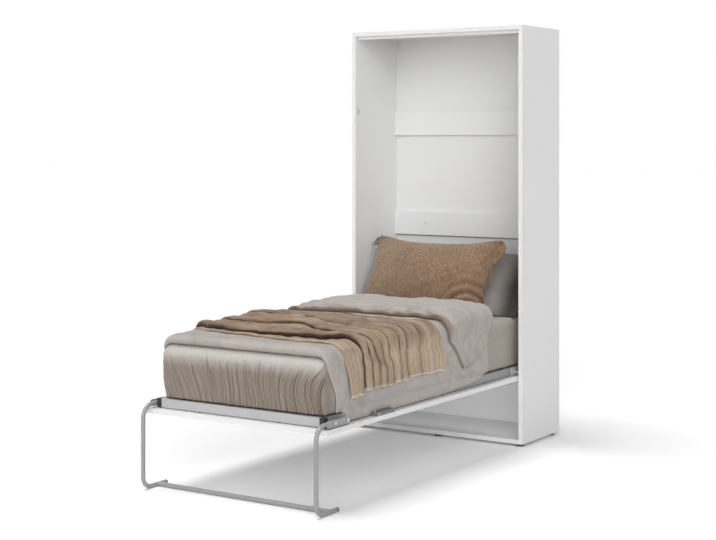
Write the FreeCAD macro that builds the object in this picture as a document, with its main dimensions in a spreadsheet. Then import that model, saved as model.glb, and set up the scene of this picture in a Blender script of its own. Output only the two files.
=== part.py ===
import FreeCAD, Part
import math
import os
import re
from FreeCAD import Placement, Rotation, Vector

# Wall bed: a shallow floor-standing cabinet with a single bed that folds down out of its front.
# X runs across the bed, +Y into the wall, +Z up. The origin is on the floor, under the middle of
# the open bed's box. The bed is modelled open, standing on its fold-out leg.

doc = FreeCAD.newDocument("wall_bed")

# Driving sizes in millimetres and degrees, each written once

SIZES = {
    # Cabinet boards
    "width": 1050, "height": 2177, "depth": 435, "board": 22, "back_sheet": 4,
    "rail_board": 18, "rail_height": 130, "lower_rail_low": 1046, "upper_rail_low": 1612,
    "sheet_split_up": 30, "sheet_split_gap": 1,
    "strip_height": 17, "strip_thick": 16, "strip_clearance": 0.5,
    # Feet under the cabinet
    "foot_height": 15, "foot_radius": 23, "foot_bevel": 3, "foot_in_from_side": 35,
    "foot_in_from_front": 45, "foot_screw_radius": 2, "foot_head_radius": 5, "foot_head_high": 3,
    "foot_head_up": 3, "foot_cap_radius": 5, "foot_cap_high": 1.5,
    # Joints and fixings of the cabinet
    "dowel_radius": 4, "dowel_length": 34, "dowel_from_edge": 35, "hole_clearance": 0.1,
    "wall_hole_radius": 4, "wall_hole_spacing": 600,
    "sheet_screw_radius": 1.5, "sheet_screw_length": 14, "sheet_head_radius": 3,
    "sheet_head_high": 2, "sheet_screw_from_split": 14,
    # Door panel, which is the bed's underside
    "door_rear_gap": 54, "door_board": 22, "pivot_height_over_door": 17, "door_side_gap": 6,
    "door_top_gap": 3, "door_bottom_gap": 5,
    # Steel frame on the door panel
    "rail_wide": 25, "rail_tall": 40, "rail_wall": 1.5, "rail_spacer": 4, "foot_rail_offset": 33,
    "cross_bar": 20, "head_from_back": 126, "corner_block_proud": 1,
    "spacer_radius": 11, "rail_screw_radius": 2.5, "rail_screw_head": 5, "rail_screw_deep": 10,
    "rail_screw_head_high": 3, "rail_screw_first": 140,
    # Sprung slats and their holders
    "slat_wide": 53, "slat_thick": 8, "slat_in_holder": 12, "holder_deep": 15, "holder_lip": 3,
    "slat_from_end": 75, "slat_slack": 0.2, "slat_top_above_rail": 0.5, "slat_top_skin": 0.3,
    # Bed pivots
    "pin_radius": 8, "pin_running": 0.05, "bush_wall": 3, "bush_flange": 3, "bush_flange_thick": 2,
    "bush_in_panel": 12, "pin_short_of_end": 3, "pivot_plate_thick": 5, "pivot_plate_front_length": 28,
    "pivot_plate_rear_length": 52, "pivot_plate_low_length": 30, "pivot_plate_high_length": 90,
    "bracket_thick": 3.4, "bracket_half": 45, "plate_screw_radius": 3, "plate_screw_length": 14,
    "plate_screw_head": 5, "plate_screw_head_high": 2, "plate_screw_edge": 14,
    # Fold-out leg
    "leg_in": 20, "leg_radius": 10, "leg_wall": 1.5, "leg_rail_gap": 4, "leg_door_gap": 10.5,
    "leg_overhang": 48, "leg_bend": 60, "leg_foot_bend": 50, "leg_foot_length": 150,
    "leg_pivot_offset": 167, "leg_top_past_pivot": 15, "crossbar_offset": 101, "crossbar_lift": 1,
    "leg_cap_long": 8, "leg_bolt_radius": 6, "leg_bolt_head": 9, "leg_bolt_head_high": 4,
    "leg_bush_radius": 8.5, "arm_thick": 4, "arm_tall": 32, "arm_length": 140, "side_clear": 0.3,
    "leg_shoulder": 9, "arm_rivet_offset": 92, "arm_rivet_head": 7,
    "arm_rivet_head_high": 2.5,
    # Gas struts in the side gaps
    "strut_from_side": 20, "strut_radius": 10, "rod_radius": 4.5, "strut_top_offset": 240,
    "strut_top_height": 440, "strut_low_offset": 180, "strut_low_height": 4, "strut_eye_radius": 9,
    "strut_eye_half": 6, "stud_radius": 4, "strut_tube_end": 36, "strut_rod_top": 45,
    "rod_cup_radius": 8, "rod_cup_half": 5, "strut_plate_thick": 3, "strut_plate_half": 22,
    "strut_neck_radius": 5,
    # Side bolts that hold the closed bed
    "latch_from_foot": 410, "latch_radius": 4, "latch_travel": 14, "latch_end_gap": 0.5,
    "latch_case_tall": 16, "latch_case_long": 148, "latch_case_past": 14, "latch_inner_gap": 2,
    "latch_knob_radius": 3, "latch_knob_proud": 6, "latch_knob_in": 22, "latch_tail_in": 4,
    "latch_slot_clear": 0.4, "strike_thick": 1.5, "strike_tall": 33, "strike_wide": 20,
    "strike_hole_radius": 5, "strike_hole_deep": 13,
    # Mattress, fitted sheet and covers
    "mattress_in": 21, "mattress_high": 244, "mattress_round": 38, "mattress_foot_in": 10,
    "sheet_thick": 2, "sheet_hem_up": 6, "soft_gap": 0.4, "duvet_side": 9, "duvet_round": 60,
    "duvet_hem_up": 3, "duvet_from_foot": 18, "duvet_from_head": 405, "duvet_skirt": 2.6,
    "duvet_skirt_slope": 24, "duvet_skirt_lip": 4, "duvet_skirt_past_pivot": 28,
    "duvet_skirt_level": 400, "duvet_skirt_rise": 790,
    "throw_side": 6, "throw_hem_up": 65, "throw_hem_up_left": 153, "throw_from_foot": 190,
    "throw_long": 810, "throw_fold_high": 12, "throw_fold_out": 2.5,
    # Pillows
    "tan_from_edge": 52, "tan_tall": 456, "tan_thick": 150, "tan_lean_degrees": 27,
    "tan_x": -45, "tan_from_back": 507, "grey_from_edge": 92, "grey_tall": 440,
    "grey_thick": 140, "grey_lean_degrees": 44, "grey_past_edge": 13, "grey_from_back": 356,
    # One overrun for every cutting tool
    "overrun": 2,
}

# Places worked out from the sizes above

PLACES = {
    "outer_half": "width / 2",
    "inner_half": "width / 2 - board",
    "top_under": "height - board",
    "bottom_top": "foot_height + board",
    "pivot_deep": "door_board + pivot_height_over_door",
    "pivot_z": "bottom_top + door_bottom_gap + depth - back_sheet - pivot_deep - door_rear_gap",
    "door_top": "pivot_z - pivot_height_over_door",
    "door_underside": "door_top - door_board",
    "door_reach": "top_under - door_top_gap - pivot_z - pivot_deep",
    "leg_reach": "door_reach + leg_overhang + leg_radius",
    "front": "(leg_reach - depth) / 2",
    "rear": "front + depth",
    "sheet_y": "rear - back_sheet",
    "rail_y": "sheet_y - rail_board",
    "pivot_y": "front + pivot_deep",
    "door_foot": "front - door_reach",
    "door_head": "pivot_y + pivot_z - bottom_top - door_bottom_gap",
    "door_half": "inner_half - door_side_gap",
    "leg_half": "door_half - leg_in",
    "rail_half": "leg_half - leg_radius - leg_rail_gap",
    "rail_in": "rail_half - rail_wide",
    "rail_low": "door_top + rail_spacer",
    "rail_top": "rail_low + rail_tall",
    "foot_rail_y": "door_foot + foot_rail_offset",
    "side_rail_foot": "foot_rail_y + rail_wide",
    "head_end": "sheet_y - head_from_back",
    "head_rail_y": "head_end - rail_wide",
    "slat_top": "rail_top + slat_top_above_rail",
    "bed_top": "slat_top + slat_top_skin",
    "plate_in": "inner_half - pivot_plate_thick",
    "bush_radius": "pin_radius + pin_running + bush_wall",
    "leg_y": "door_foot - leg_overhang",
    "leg_top_z": "door_top + leg_door_gap + leg_radius",
    "leg_pivot_y": "door_foot + leg_pivot_offset",
    "leg_foot_end": "leg_y + leg_foot_length",
    "strut_half": "inner_half - strut_from_side",
    "strut_top_y": "pivot_y + strut_top_offset",
    "strut_top_z": "pivot_z + strut_top_height",
    "strut_low_y": "pivot_y + strut_low_offset",
    "strut_low_z": "pivot_z + strut_low_height",
    "strut_run": "sqrt((strut_top_y - strut_low_y)^2 + (strut_top_z - strut_low_z)^2)",
    "latch_y": "door_foot + latch_from_foot",
    "latch_z": "door_top + latch_case_tall / 2",
    "latch_in": "rail_half + latch_inner_gap",
    "latch_out": "door_half - latch_end_gap",
    "strike_y": "front + latch_z - door_underside",
    "strike_z": "pivot_z + pivot_y - latch_y",
    "mattress_half": "rail_half - mattress_in",
    "mattress_foot": "foot_rail_y + mattress_foot_in",
    "mattress_top": "bed_top + soft_gap + mattress_high",
    "sheet_half": "mattress_half + soft_gap + sheet_thick",
    "sheet_top": "mattress_top + soft_gap + sheet_thick",
    "duvet_in": "sheet_half + soft_gap",
    "duvet_out": "duvet_in + duvet_side",
    "duvet_under": "sheet_top + soft_gap",
    "throw_in": "duvet_out + soft_gap",
    "throw_out": "throw_in + throw_side",
    "throw_low": "rail_top + throw_hem_up",
    "throw_low_left": "rail_top + throw_hem_up_left",
    "throw_foot": "mattress_foot + throw_from_foot",
    "throw_head": "throw_foot + throw_long",
    "duvet_foot": "mattress_foot + duvet_from_foot",
    "skirt_in": "rail_half + soft_gap",
    "skirt_foot": "leg_pivot_y + duvet_skirt_past_pivot",
    "skirt_low": "door_top + latch_case_tall + soft_gap",
    "duvet_head": "head_end - duvet_from_head",
    "tan_wide": "2 * (mattress_half - tan_from_edge)",
    "tan_y": "sheet_y - tan_from_back",
    "grey_wide": "2 * (mattress_half - grey_from_edge)",
    "grey_x": "mattress_half + grey_past_edge - grey_wide / 2",
    "grey_y": "sheet_y - grey_from_back",
}

# The two sheets


def qualified(text):
    """Point each size and place named in a formula at its cell."""
    def cell(word):
        name = word.group(0)
        if name in SIZES:
            return "sizes." + name
        return "places." + name if name in PLACES else name
    return re.sub(r"[a-z][a-z0-9_]*", cell, text)


def sheet_of(name, cells, text_of):
    sheet = doc.addObject("Spreadsheet::Sheet", name)
    for row, (alias, content) in enumerate(cells.items(), start=1):
        sheet.set(f"A{row}", alias)
        sheet.set(f"B{row}", text_of(content))
        sheet.setAlias(f"B{row}", alias)
    return sheet


sizes = sheet_of("sizes", SIZES, str)
places = sheet_of("places", PLACES, lambda formula: "=" + re.sub(
    r"[a-z][a-z0-9_]*", lambda word: "sizes." + word.group(0)
    if word.group(0) in SIZES else word.group(0), formula))
doc.recompute()


def value(name):
    """The number that a size or a place holds now."""
    cell = getattr(sizes if name in SIZES else places, name)
    return float(getattr(cell, "Value", cell))


# Solids bound to the sheets

AXES = {
    "x": Rotation(Vector(0, 1, 0), 90),
    "y": Rotation(Vector(1, 0, 0), -90),
    "z": Rotation(),
}


def bind(thing, **formulas):
    for prop, text in formulas.items():
        thing.setExpression(prop.replace("__", "."), qualified(text))


def put(thing, x, y, z):
    bind(thing, Placement__Base__x=x, Placement__Base__y=y, Placement__Base__z=z)


def box(name, x, y, z):
    """A block between two planes each way; x, y and z are pairs of formulas."""
    block = doc.addObject("Part::Box", name)
    bind(block, Length=f"({x[1]}) - ({x[0]})", Width=f"({y[1]}) - ({y[0]})",
         Height=f"({z[1]}) - ({z[0]})")
    put(block, x[0], y[0], z[0])
    return block


def rod(name, axis, radius, length, at):
    """A cylinder that starts at a point and runs along an axis."""
    cylinder = doc.addObject("Part::Cylinder", name)
    cylinder.Placement = Placement(Vector(), AXES[axis])
    bind(cylinder, Radius=radius, Height=length)
    put(cylinder, *at)
    return cylinder


def cut(name, base, *tools):
    """A base with one or more tools taken out of it."""
    result = doc.addObject("Part::Cut", name)
    result.Base = base
    result.Tool = tools[0] if len(tools) == 1 else group(name + "_tools", *tools)
    return result


def fuse(name, *members):
    result = doc.addObject("Part::MultiFuse", name)
    result.Shapes = list(members)
    return result


def group(name, *members):
    """Separate solids kept in one object."""
    result = doc.addObject("Part::Compound", name)
    result.Links = list(members)
    return result


def mirrored(name, source):
    """The same piece on the other side of the bed."""
    result = doc.addObject("Part::Mirroring", name)
    result.Source = source
    result.Normal = Vector(1, 0, 0)
    return result


def shaped(name, shape):
    """A piece whose shape comes from Part's own functions."""
    result = doc.addObject("Part::Feature", name)
    result.Shape = shape
    return result


NODES = {}


def node(name, thing):
    """Keep a finished piece under its own name."""
    thing.Label = name
    NODES[name] = thing
    return thing


def node_pair(name, make):
    """A piece on the right of the bed and its mirror on the left, each in its own node."""
    right = node(name + "_right", make(name + "_right_solid"))
    node(name + "_left", mirrored(name + "_left_solid", right))


def node_both(name, make):
    """A small piece and its mirror, kept together in one node."""
    right = make(name + "_right_solid")
    node(name, group(name + "_set", right, mirrored(name + "_left_solid", right)))


# Dowels that join the cabinet's boards, and their holes

EDGE_DEPTH_SHARES = (0.15, 0.5, 0.85)
DOWEL_ROWS = [(f"front + depth * {share}", f"{level} + board / 2")
              for share in EDGE_DEPTH_SHARES for level in ("foot_height", "top_under")]
DOWEL_ROWS += [("rail_y + rail_board / 2", f"{low} + {up}")
               for low in ("lower_rail_low", "upper_rail_low")
               for up in ("dowel_from_edge", "rail_height - dowel_from_edge")]


def dowel_group(name, radius, length):
    members = []
    for row, (y, z) in enumerate(DOWEL_ROWS):
        for side in ("", "-"):
            members.append(rod(f"{name}_{row}{'r' if side else 'l'}", "x", radius, length,
                               (f"{side}(inner_half) - ({length}) / 2", y, z)))
    return group(name, *members)


dowel_holes = dowel_group("dowel_holes", "dowel_radius + hole_clearance",
                          "dowel_length + 2 * hole_clearance")
node("carcass_dowels", dowel_group("carcass_dowels_all", "dowel_radius", "dowel_length"))

# Side panels, with a blind bore for the pivot bush and one for the side bolt


def side_panel(name):
    board = box(name + "_board", ("inner_half", "outer_half"), ("front", "rear"),
                ("foot_height", "height"))
    bush_bore = rod(name + "_bush_bore", "x", "bush_radius + hole_clearance",
                    "bush_in_panel + overrun + hole_clearance",
                    ("inner_half - overrun", "pivot_y", "pivot_z"))
    strike_bore = rod(name + "_strike_bore", "x", "strike_hole_radius",
                      "strike_hole_deep + overrun",
                      ("inner_half - overrun", "strike_y", "strike_z"))
    return cut(name, board, bush_bore, strike_bore, dowel_holes, plate_holes)


# Screws of the pivot plates and strut plates, driven into the side panels

PLATE_SCREWS = [(f"pivot_y {y}", f"pivot_z {z}")
                for y in ("- pivot_plate_front_length + plate_screw_edge",
                          "+ pivot_plate_rear_length - plate_screw_edge")
                for z in ("- pivot_plate_low_length + plate_screw_edge",
                          "+ pivot_plate_high_length - plate_screw_edge")]
STRUT_SCREWS = [("strut_top_y", f"strut_top_z {side} (strut_plate_half - strut_plate_half / 3)")
                for side in ("+", "-")]


def plate_screws(name, radius, head_radius, sink):
    members = []
    for at, face in ((PLATE_SCREWS, "plate_in"), (STRUT_SCREWS, "inner_half - strut_plate_thick")):
        for y, z in at:
            stem = f"{name}_{len(members)}"
            shank = rod(stem + "_shank", "x", radius, f"plate_screw_length + {sink}",
                        (face, y, z))
            head = rod(stem + "_head", "x", head_radius, f"plate_screw_head_high + {sink}",
                       (face, y, z))
            members.append(fuse(stem, shank, head))
    return group(name, *members)


plate_holes = plate_screws("plate_holes", "plate_screw_radius + hole_clearance",
                           "plate_screw_head + hole_clearance", "hole_clearance")
node_both("plate_screws", lambda name: plate_screws(name, "plate_screw_radius",
                                                    "plate_screw_head", "0"))
node_pair("side_panel", side_panel)

# Top and bottom panels, with the foot screws' holes in the bottom one

FEET = [(x, y) for x in ("-(outer_half - foot_in_from_side)", "0", "outer_half - foot_in_from_side")
        for y in ("front + foot_in_from_front", "rear - foot_in_from_front")]


def foot_bores(name, radius, low, high):
    bores = [rod(f"{name}_{number}", "z", radius, f"({high}) - ({low})", (x, y, low))
             for number, (x, y) in enumerate(FEET)]
    return group(name, *bores)


foot_holes = foot_bores("foot_holes", "foot_screw_radius + hole_clearance",
                        "foot_head_up", "bottom_top + overrun")
bottom_board = box("bottom_board", ("-inner_half", "inner_half"), ("front", "sheet_y"),
                   ("foot_height", "bottom_top"))
node("bottom_panel", cut("bottom_panel_cut", bottom_board, dowel_holes, foot_holes))
top_board = box("top_board", ("-inner_half", "inner_half"), ("front", "sheet_y"),
                ("top_under", "height"))
node("top_panel", cut("top_panel_cut", top_board, dowel_holes))
node("top_stop_strip", box("stop_strip", ("-inner_half", "inner_half"),
                           ("front + door_board + strip_clearance",
                            "front + door_board + strip_clearance + strip_thick"),
                           ("top_under - strip_height", "top_under")))

# Cross rails, drilled for the screws that hold the cabinet to the wall

RAILS = {"lower": "lower_rail_low", "upper": "upper_rail_low"}
wall_holes = group("wall_holes", *[
    rod(f"wall_hole_{rail}_{side}", "y", "wall_hole_radius", "depth",
        (f"{sign}wall_hole_spacing / 2", "rail_y - overrun", f"{low} + rail_height / 2"))
    for rail, low in RAILS.items() for side, sign in (("left", "-"), ("right", ""))])


def screw_row(name, radius, length, head_radius, sink):
    """Countersunk screws through the back sheets into the cross rails."""
    members = []
    for low in RAILS.values():
        for across_share in (-0.9, -0.3, 0.3, 0.9):
            for up in ("sheet_split_up - sheet_screw_from_split",
                       "sheet_split_up + sheet_screw_from_split"):
                stem = f"{name}_{len(members)}"
                at_x, at_z = f"inner_half * {across_share}", f"{low} + {up}"
                shank = rod(stem + "_shank", "y", radius, f"{length} + {sink}",
                            (at_x, f"rear - ({length}) - {sink}", at_z))
                head = rod(stem + "_head", "y", head_radius, "sheet_head_high",
                           (at_x, "rear - sheet_head_high", at_z))
                members.append(fuse(stem, shank, head))
    return group(name, *members)


sheet_screw_holes = screw_row("sheet_screw_holes", "sheet_screw_radius + hole_clearance",
                              "sheet_screw_length", "sheet_head_radius + hole_clearance",
                              "hole_clearance")
node("back_sheet_screws", screw_row("back_screws", "sheet_screw_radius", "sheet_screw_length",
                                    "sheet_head_radius", "0"))
for rail, low in RAILS.items():
    board = box(f"{rail}_rail_board", ("-inner_half", "inner_half"), ("rail_y", "sheet_y"),
                (low, f"{low} + rail_height"))
    node(f"cross_rail_{rail}", cut(f"{rail}_rail_cut", board, dowel_holes, wall_holes,
                                   sheet_screw_holes))

# Three back sheets, which meet behind the cross rails

SHEETS = {
    "lower": ("foot_height", "lower_rail_low + sheet_split_up - sheet_split_gap / 2"),
    "middle": ("lower_rail_low + sheet_split_up + sheet_split_gap / 2",
               "upper_rail_low + sheet_split_up - sheet_split_gap / 2"),
    "upper": ("upper_rail_low + sheet_split_up + sheet_split_gap / 2", "height"),
}
for name, span in SHEETS.items():
    sheet = box(f"{name}_sheet", ("-inner_half", "inner_half"), ("sheet_y", "rear"), span)
    node(f"back_sheet_{name}", cut(f"{name}_sheet_cut", sheet, wall_holes, sheet_screw_holes))

# Plastic glides under the cabinet, each held by a screw with a cap on the bottom panel


def cabinet_foot(number, x, y):
    stem = f"glide_{number}"
    pad = rod(stem + "_pad", "z", "foot_radius", "foot_height - foot_bevel", (x, y, "foot_bevel"))
    bevel = doc.addObject("Part::Cone", stem + "_bevel")
    bind(bevel, Radius1="foot_radius - foot_bevel", Radius2="foot_radius", Height="foot_bevel")
    put(bevel, x, y, "0")
    bore = rod(stem + "_bore", "z", "foot_screw_radius + hole_clearance",
               "foot_height + overrun", (x, y, "foot_head_up"))
    recess = rod(stem + "_recess", "z", "foot_head_radius + hole_clearance",
                 "foot_head_up + foot_head_high + overrun", (x, y, "-overrun"))
    return cut(stem, fuse(stem + "_body", pad, bevel), bore, recess)


def foot_screw(number, x, y):
    stem = f"foot_screw_{number}"
    shank = rod(stem + "_shank", "z", "foot_screw_radius", "bottom_top - foot_head_up",
                (x, y, "foot_head_up"))
    head = rod(stem + "_head", "z", "foot_head_radius", "foot_head_high", (x, y, "foot_head_up"))
    cap = rod(stem + "_cap", "z", "foot_cap_radius", "foot_cap_high", (x, y, "bottom_top"))
    return fuse(stem, shank, head, cap)


node("cabinet_feet", group("glides", *[cabinet_foot(number, *at)
                                       for number, at in enumerate(FEET)]))
node("foot_screws", group("foot_screw_set", *[foot_screw(number, *at)
                                              for number, at in enumerate(FEET)]))

# Bed pivots: a steel plate and a nylon bush on the cabinet, a bracket and a pin on the bed


def pivot_plate(name):
    plate = box(name + "_plate", ("plate_in", "inner_half"),
                ("pivot_y - pivot_plate_front_length", "pivot_y + pivot_plate_rear_length"),
                ("pivot_z - pivot_plate_low_length", "pivot_z + pivot_plate_high_length"))
    bore = rod(name + "_bore", "x", "bush_radius + hole_clearance",
               "pivot_plate_thick + 2 * overrun", ("plate_in - overrun", "pivot_y", "pivot_z"))
    return cut(name, plate, bore, plate_holes)


def pivot_bush(name):
    barrel = rod(name + "_barrel", "x", "bush_radius", "pivot_plate_thick + bush_in_panel",
                 ("plate_in", "pivot_y", "pivot_z"))
    flange = rod(name + "_flange", "x", "bush_radius + bush_flange", "bush_flange_thick",
                 ("plate_in - bush_flange_thick", "pivot_y", "pivot_z"))
    bore = rod(name + "_bore", "x", "pin_radius + pin_running",
               "bush_flange_thick + pivot_plate_thick + bush_in_panel + 2 * overrun",
               ("plate_in - bush_flange_thick - overrun", "pivot_y", "pivot_z"))
    return cut(name, fuse(name + "_body", barrel, flange), bore)


def bed_bracket(name):
    plate = box(name + "_plate", ("rail_half", "rail_half + bracket_thick"),
                ("pivot_y - bracket_half", "pivot_y + bracket_half"), ("rail_low", "rail_top"))
    bore = rod(name + "_bore", "x", "pin_radius", "bracket_thick + 2 * overrun",
               ("rail_half - overrun", "pivot_y", "pivot_z"))
    return cut(name, plate, bore)


def pivot_pin(name):
    return rod(name, "x", "pin_radius",
               "inner_half + bush_in_panel - pin_short_of_end - rail_half",
               ("rail_half", "pivot_y", "pivot_z"))


node_pair("pivot_plate", pivot_plate)
node_both("pivot_bushes", pivot_bush)
node_both("pivot_brackets", bed_bracket)
node_both("pivot_pins", pivot_pin)

# Screws and spacers between the steel frame and the door panel

RAIL_SCREW_SHARES = (0, 0.25, 0.5, 0.75, 1)
RAIL_SCREW_RUN = "(head_rail_y - side_rail_foot - 2 * rail_screw_first)"
RAIL_SCREWS = [(f"{side}(rail_half - rail_wide / 2)",
                f"side_rail_foot + rail_screw_first + {RAIL_SCREW_RUN} * {share}")
               for side in ("", "-") for share in RAIL_SCREW_SHARES]
RAIL_SCREWS += [(f"{side}rail_in / 2", "foot_rail_y + rail_wide / 2") for side in ("", "-")]


def rail_bores(name, radius, low, high):
    bores = [rod(f"{name}_{number}", "z", radius, f"({high}) - ({low})", (x, y, low))
             for number, (x, y) in enumerate(RAIL_SCREWS)]
    return group(name, *bores)


rail_screw_holes = rail_bores("rail_screw_holes", "rail_screw_radius + hole_clearance",
                              "door_top - rail_screw_deep - hole_clearance",
                              "rail_low + rail_wall + overrun")
spacer_discs = rail_bores("spacer_discs", "spacer_radius", "door_top", "rail_low")
node("frame_spacers", cut("spacer_rings", spacer_discs, rail_screw_holes))


def frame_screw(number, x, y):
    stem = f"frame_screw_{number}"
    shank = rod(stem + "_shank", "z", "rail_screw_radius",
                "rail_screw_deep + rail_spacer + rail_wall", (x, y, "door_top - rail_screw_deep"))
    head = rod(stem + "_head", "z", "rail_screw_head", "rail_screw_head_high",
               (x, y, "rail_low + rail_wall"))
    return fuse(stem, shank, head)


node("frame_screws", group("frame_screw_set", *[frame_screw(number, *at)
                                                for number, at in enumerate(RAIL_SCREWS)]))

# Door panel

door_board = box("door_board_solid", ("-door_half", "door_half"), ("door_foot", "door_head"),
                 ("door_underside", "door_top"))
node("door_panel", cut("door_panel_cut", door_board, rail_screw_holes))

# Steel tube frame: two side rails, a foot rail, a head rail and cross bars


def tube_along_y(name, x, y, z):
    outer = box(name + "_outer", x, y, z)
    inner = box(name + "_inner", (f"{x[0]} + rail_wall", f"{x[1]} - rail_wall"),
                (f"{y[0]} - overrun", f"{y[1]} + overrun"),
                (f"{z[0]} + rail_wall", f"{z[1]} - rail_wall"))
    return cut(name, outer, inner, rail_screw_holes)


def tube_along_x(name, x, y, z):
    outer = box(name + "_outer", x, y, z)
    inner = box(name + "_inner", (f"{x[0]} - overrun", f"{x[1]} + overrun"),
                (f"{y[0]} + rail_wall", f"{y[1]} - rail_wall"),
                (f"{z[0]} + rail_wall", f"{z[1]} - rail_wall"))
    return cut(name, outer, inner, rail_screw_holes)


def side_rail(name):
    tube = tube_along_y(name + "_tube", ("rail_in", "rail_half"),
                        ("side_rail_foot", "head_end"), ("rail_low", "rail_top"))
    leg_hole = rod(name + "_leg_hole", "x", "leg_bolt_radius", "rail_wide + 2 * overrun",
                   ("rail_in - overrun", "leg_pivot_y", "leg_top_z"))
    return cut(name, tube, leg_hole)


RAIL_LEVELS = ("rail_low", "rail_top")
node_pair("side_rail", side_rail)
node("foot_rail", tube_along_x("foot_rail_tube", ("-rail_in", "rail_in"),
                               ("foot_rail_y", "foot_rail_y + rail_wide"), RAIL_LEVELS))
node("head_rail", tube_along_x("head_rail_tube", ("-rail_in", "rail_in"),
                               ("head_rail_y", "head_end"), RAIL_LEVELS))
CROSS_BAR_SHARES = (0.25, 0.5, 0.75)
node("cross_bars", group("cross_bar_set", *[
    tube_along_x(f"cross_bar_{number}", ("-rail_in", "rail_in"),
                 (f"foot_rail_y + (head_rail_y - foot_rail_y) * {share}",
                  f"foot_rail_y + (head_rail_y - foot_rail_y) * {share} + cross_bar"),
                 ("rail_low", "rail_low + cross_bar"))
    for number, share in enumerate(CROSS_BAR_SHARES)]))
node_both("corner_blocks", lambda name: box(
    name, ("rail_in", "rail_half"), ("foot_rail_y - corner_block_proud", "side_rail_foot"),
    RAIL_LEVELS))

# Sprung slats, each end in a plastic holder on the side rail

SLAT_COUNT = 14


def slat_set(name, slack):
    """The slats, or with some slack the slots that hold them."""
    slats = []
    for number in range(SLAT_COUNT):
        share = number / (SLAT_COUNT - 1)
        middle = (f"side_rail_foot + slat_from_end"
                  f" + (head_rail_y - side_rail_foot - 2 * slat_from_end) * {share:.6f}")
        slats.append(box(f"{name}_{number}",
                         (f"-(rail_in - holder_deep + slat_in_holder + {slack})",
                          f"rail_in - holder_deep + slat_in_holder + {slack}"),
                         (f"{middle} - slat_wide / 2 - {slack}",
                          f"{middle} + slat_wide / 2 + {slack}"),
                         (f"slat_top - slat_thick - {slack}", f"slat_top + {slack}")))
    return group(name, *slats), slats


node("slats", slat_set("slat_set", "0")[0])
slat_slots, slot_boxes = slat_set("slat_slots", "slat_slack")


def holder_blocks():
    blocks = []
    for number in range(SLAT_COUNT):
        share = number / (SLAT_COUNT - 1)
        middle = (f"side_rail_foot + slat_from_end"
                  f" + (head_rail_y - side_rail_foot - 2 * slat_from_end) * {share:.6f}")
        for side, x in (("right", ("rail_in - holder_deep", "rail_in")),
                        ("left", ("-rail_in", "-(rail_in - holder_deep)"))):
            blocks.append(box(f"holder_{side}_{number}", x,
                              (f"{middle} - slat_wide / 2 - holder_lip",
                               f"{middle} + slat_wide / 2 + holder_lip"),
                              ("slat_top - slat_thick - holder_lip", "bed_top")))
    return group("holder_blocks", *blocks)


node("slat_holders", cut("slat_holder_set", holder_blocks(), slat_slots))

# Fold-out leg: bent tubes, a crossbar on the floor, arms, bushes and end caps


def quarter_bend(name, radius, thickness, y, z, turn):
    """A quarter of a ring about the X axis, centred at y and z, turned into its corner."""
    bend = doc.addObject("Part::Torus", name)
    bend.Angle3 = 90
    bend.Placement = Placement(Vector(), Rotation(Vector(1, 0, 0), turn) * AXES["x"])
    bind(bend, Radius1=radius, Radius2=thickness)
    put(bend, "leg_half", y, z)
    return bend


# How far each bend is turned about X from the quarter that runs from straight down to +Y
TOP_BEND_TURN = 180
FOOT_BEND_TURN = 270


def leg_run(name, thickness):
    """The leg's centre line at one thickness: back end, top bend, upright, foot bend, foot."""
    top = rod(name + "_top", "y", thickness,
              "leg_pivot_y + leg_top_past_pivot - leg_y - leg_bend",
              ("leg_half", "leg_y + leg_bend", "leg_top_z"))
    upright = rod(name + "_upright", "z", thickness,
                  "leg_top_z - leg_bend - leg_radius - leg_foot_bend",
                  ("leg_half", "leg_y", "leg_radius + leg_foot_bend"))
    foot = rod(name + "_foot", "y", thickness, "leg_foot_length - leg_foot_bend",
               ("leg_half", "leg_y + leg_foot_bend", "leg_radius"))
    top_bend = quarter_bend(name + "_top_bend", "leg_bend", thickness,
                            "leg_y + leg_bend", "leg_top_z - leg_bend", TOP_BEND_TURN)
    foot_bend = quarter_bend(name + "_foot_bend", "leg_foot_bend", thickness,
                             "leg_y + leg_foot_bend", "leg_radius + leg_foot_bend",
                             FOOT_BEND_TURN)
    return fuse(name, top, top_bend, upright, foot_bend, foot)


def leg_tube(name):
    bore = rod(name + "_bush_bore", "x", "leg_bush_radius", "2 * leg_radius + 2 * overrun",
               ("leg_half - leg_radius - overrun", "leg_pivot_y", "leg_top_z"))
    return cut(name, leg_run(name + "_outside", "leg_radius"),
               leg_run(name + "_hollow", "leg_radius - leg_wall"), bore)


def leg_bush(name):
    bush = rod(name + "_outside", "x", "leg_bush_radius", "2 * leg_radius",
               ("leg_half - leg_radius", "leg_pivot_y", "leg_top_z"))
    bore = rod(name + "_bore", "x", "leg_bolt_radius + pin_running",
               "2 * leg_radius + 2 * overrun",
               ("leg_half - leg_radius - overrun", "leg_pivot_y", "leg_top_z"))
    return cut(name, bush, bore)


def leg_arm(name):
    """A flat strap on the tube's outer side, round at both ends, that carries the pivot."""
    inner = "leg_half + leg_radius"
    strap = box(name + "_strap", (inner, f"{inner} + arm_thick"),
                ("leg_pivot_y - arm_length", "leg_pivot_y"),
                ("leg_top_z - arm_tall / 2", "leg_top_z + arm_tall / 2"))
    ends = [rod(f"{name}_end_{number}", "x", "arm_tall / 2", "arm_thick", (inner, y, "leg_top_z"))
            for number, y in enumerate(("leg_pivot_y", "leg_pivot_y - arm_length"))]
    bore = rod(name + "_bore", "x", "leg_bolt_radius + pin_running", "arm_thick + 2 * overrun",
               (f"{inner} - overrun", "leg_pivot_y", "leg_top_z"))
    return cut(name, fuse(name + "_blank", strap, *ends), bore)


def leg_rivet(name):
    """The rivet that holds the arm to the tube, seen as a round head on the arm."""
    return rod(name, "x", "arm_rivet_head", "arm_rivet_head_high",
               ("leg_half + leg_radius + arm_thick", "leg_pivot_y - arm_rivet_offset",
                "leg_top_z"))


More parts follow.
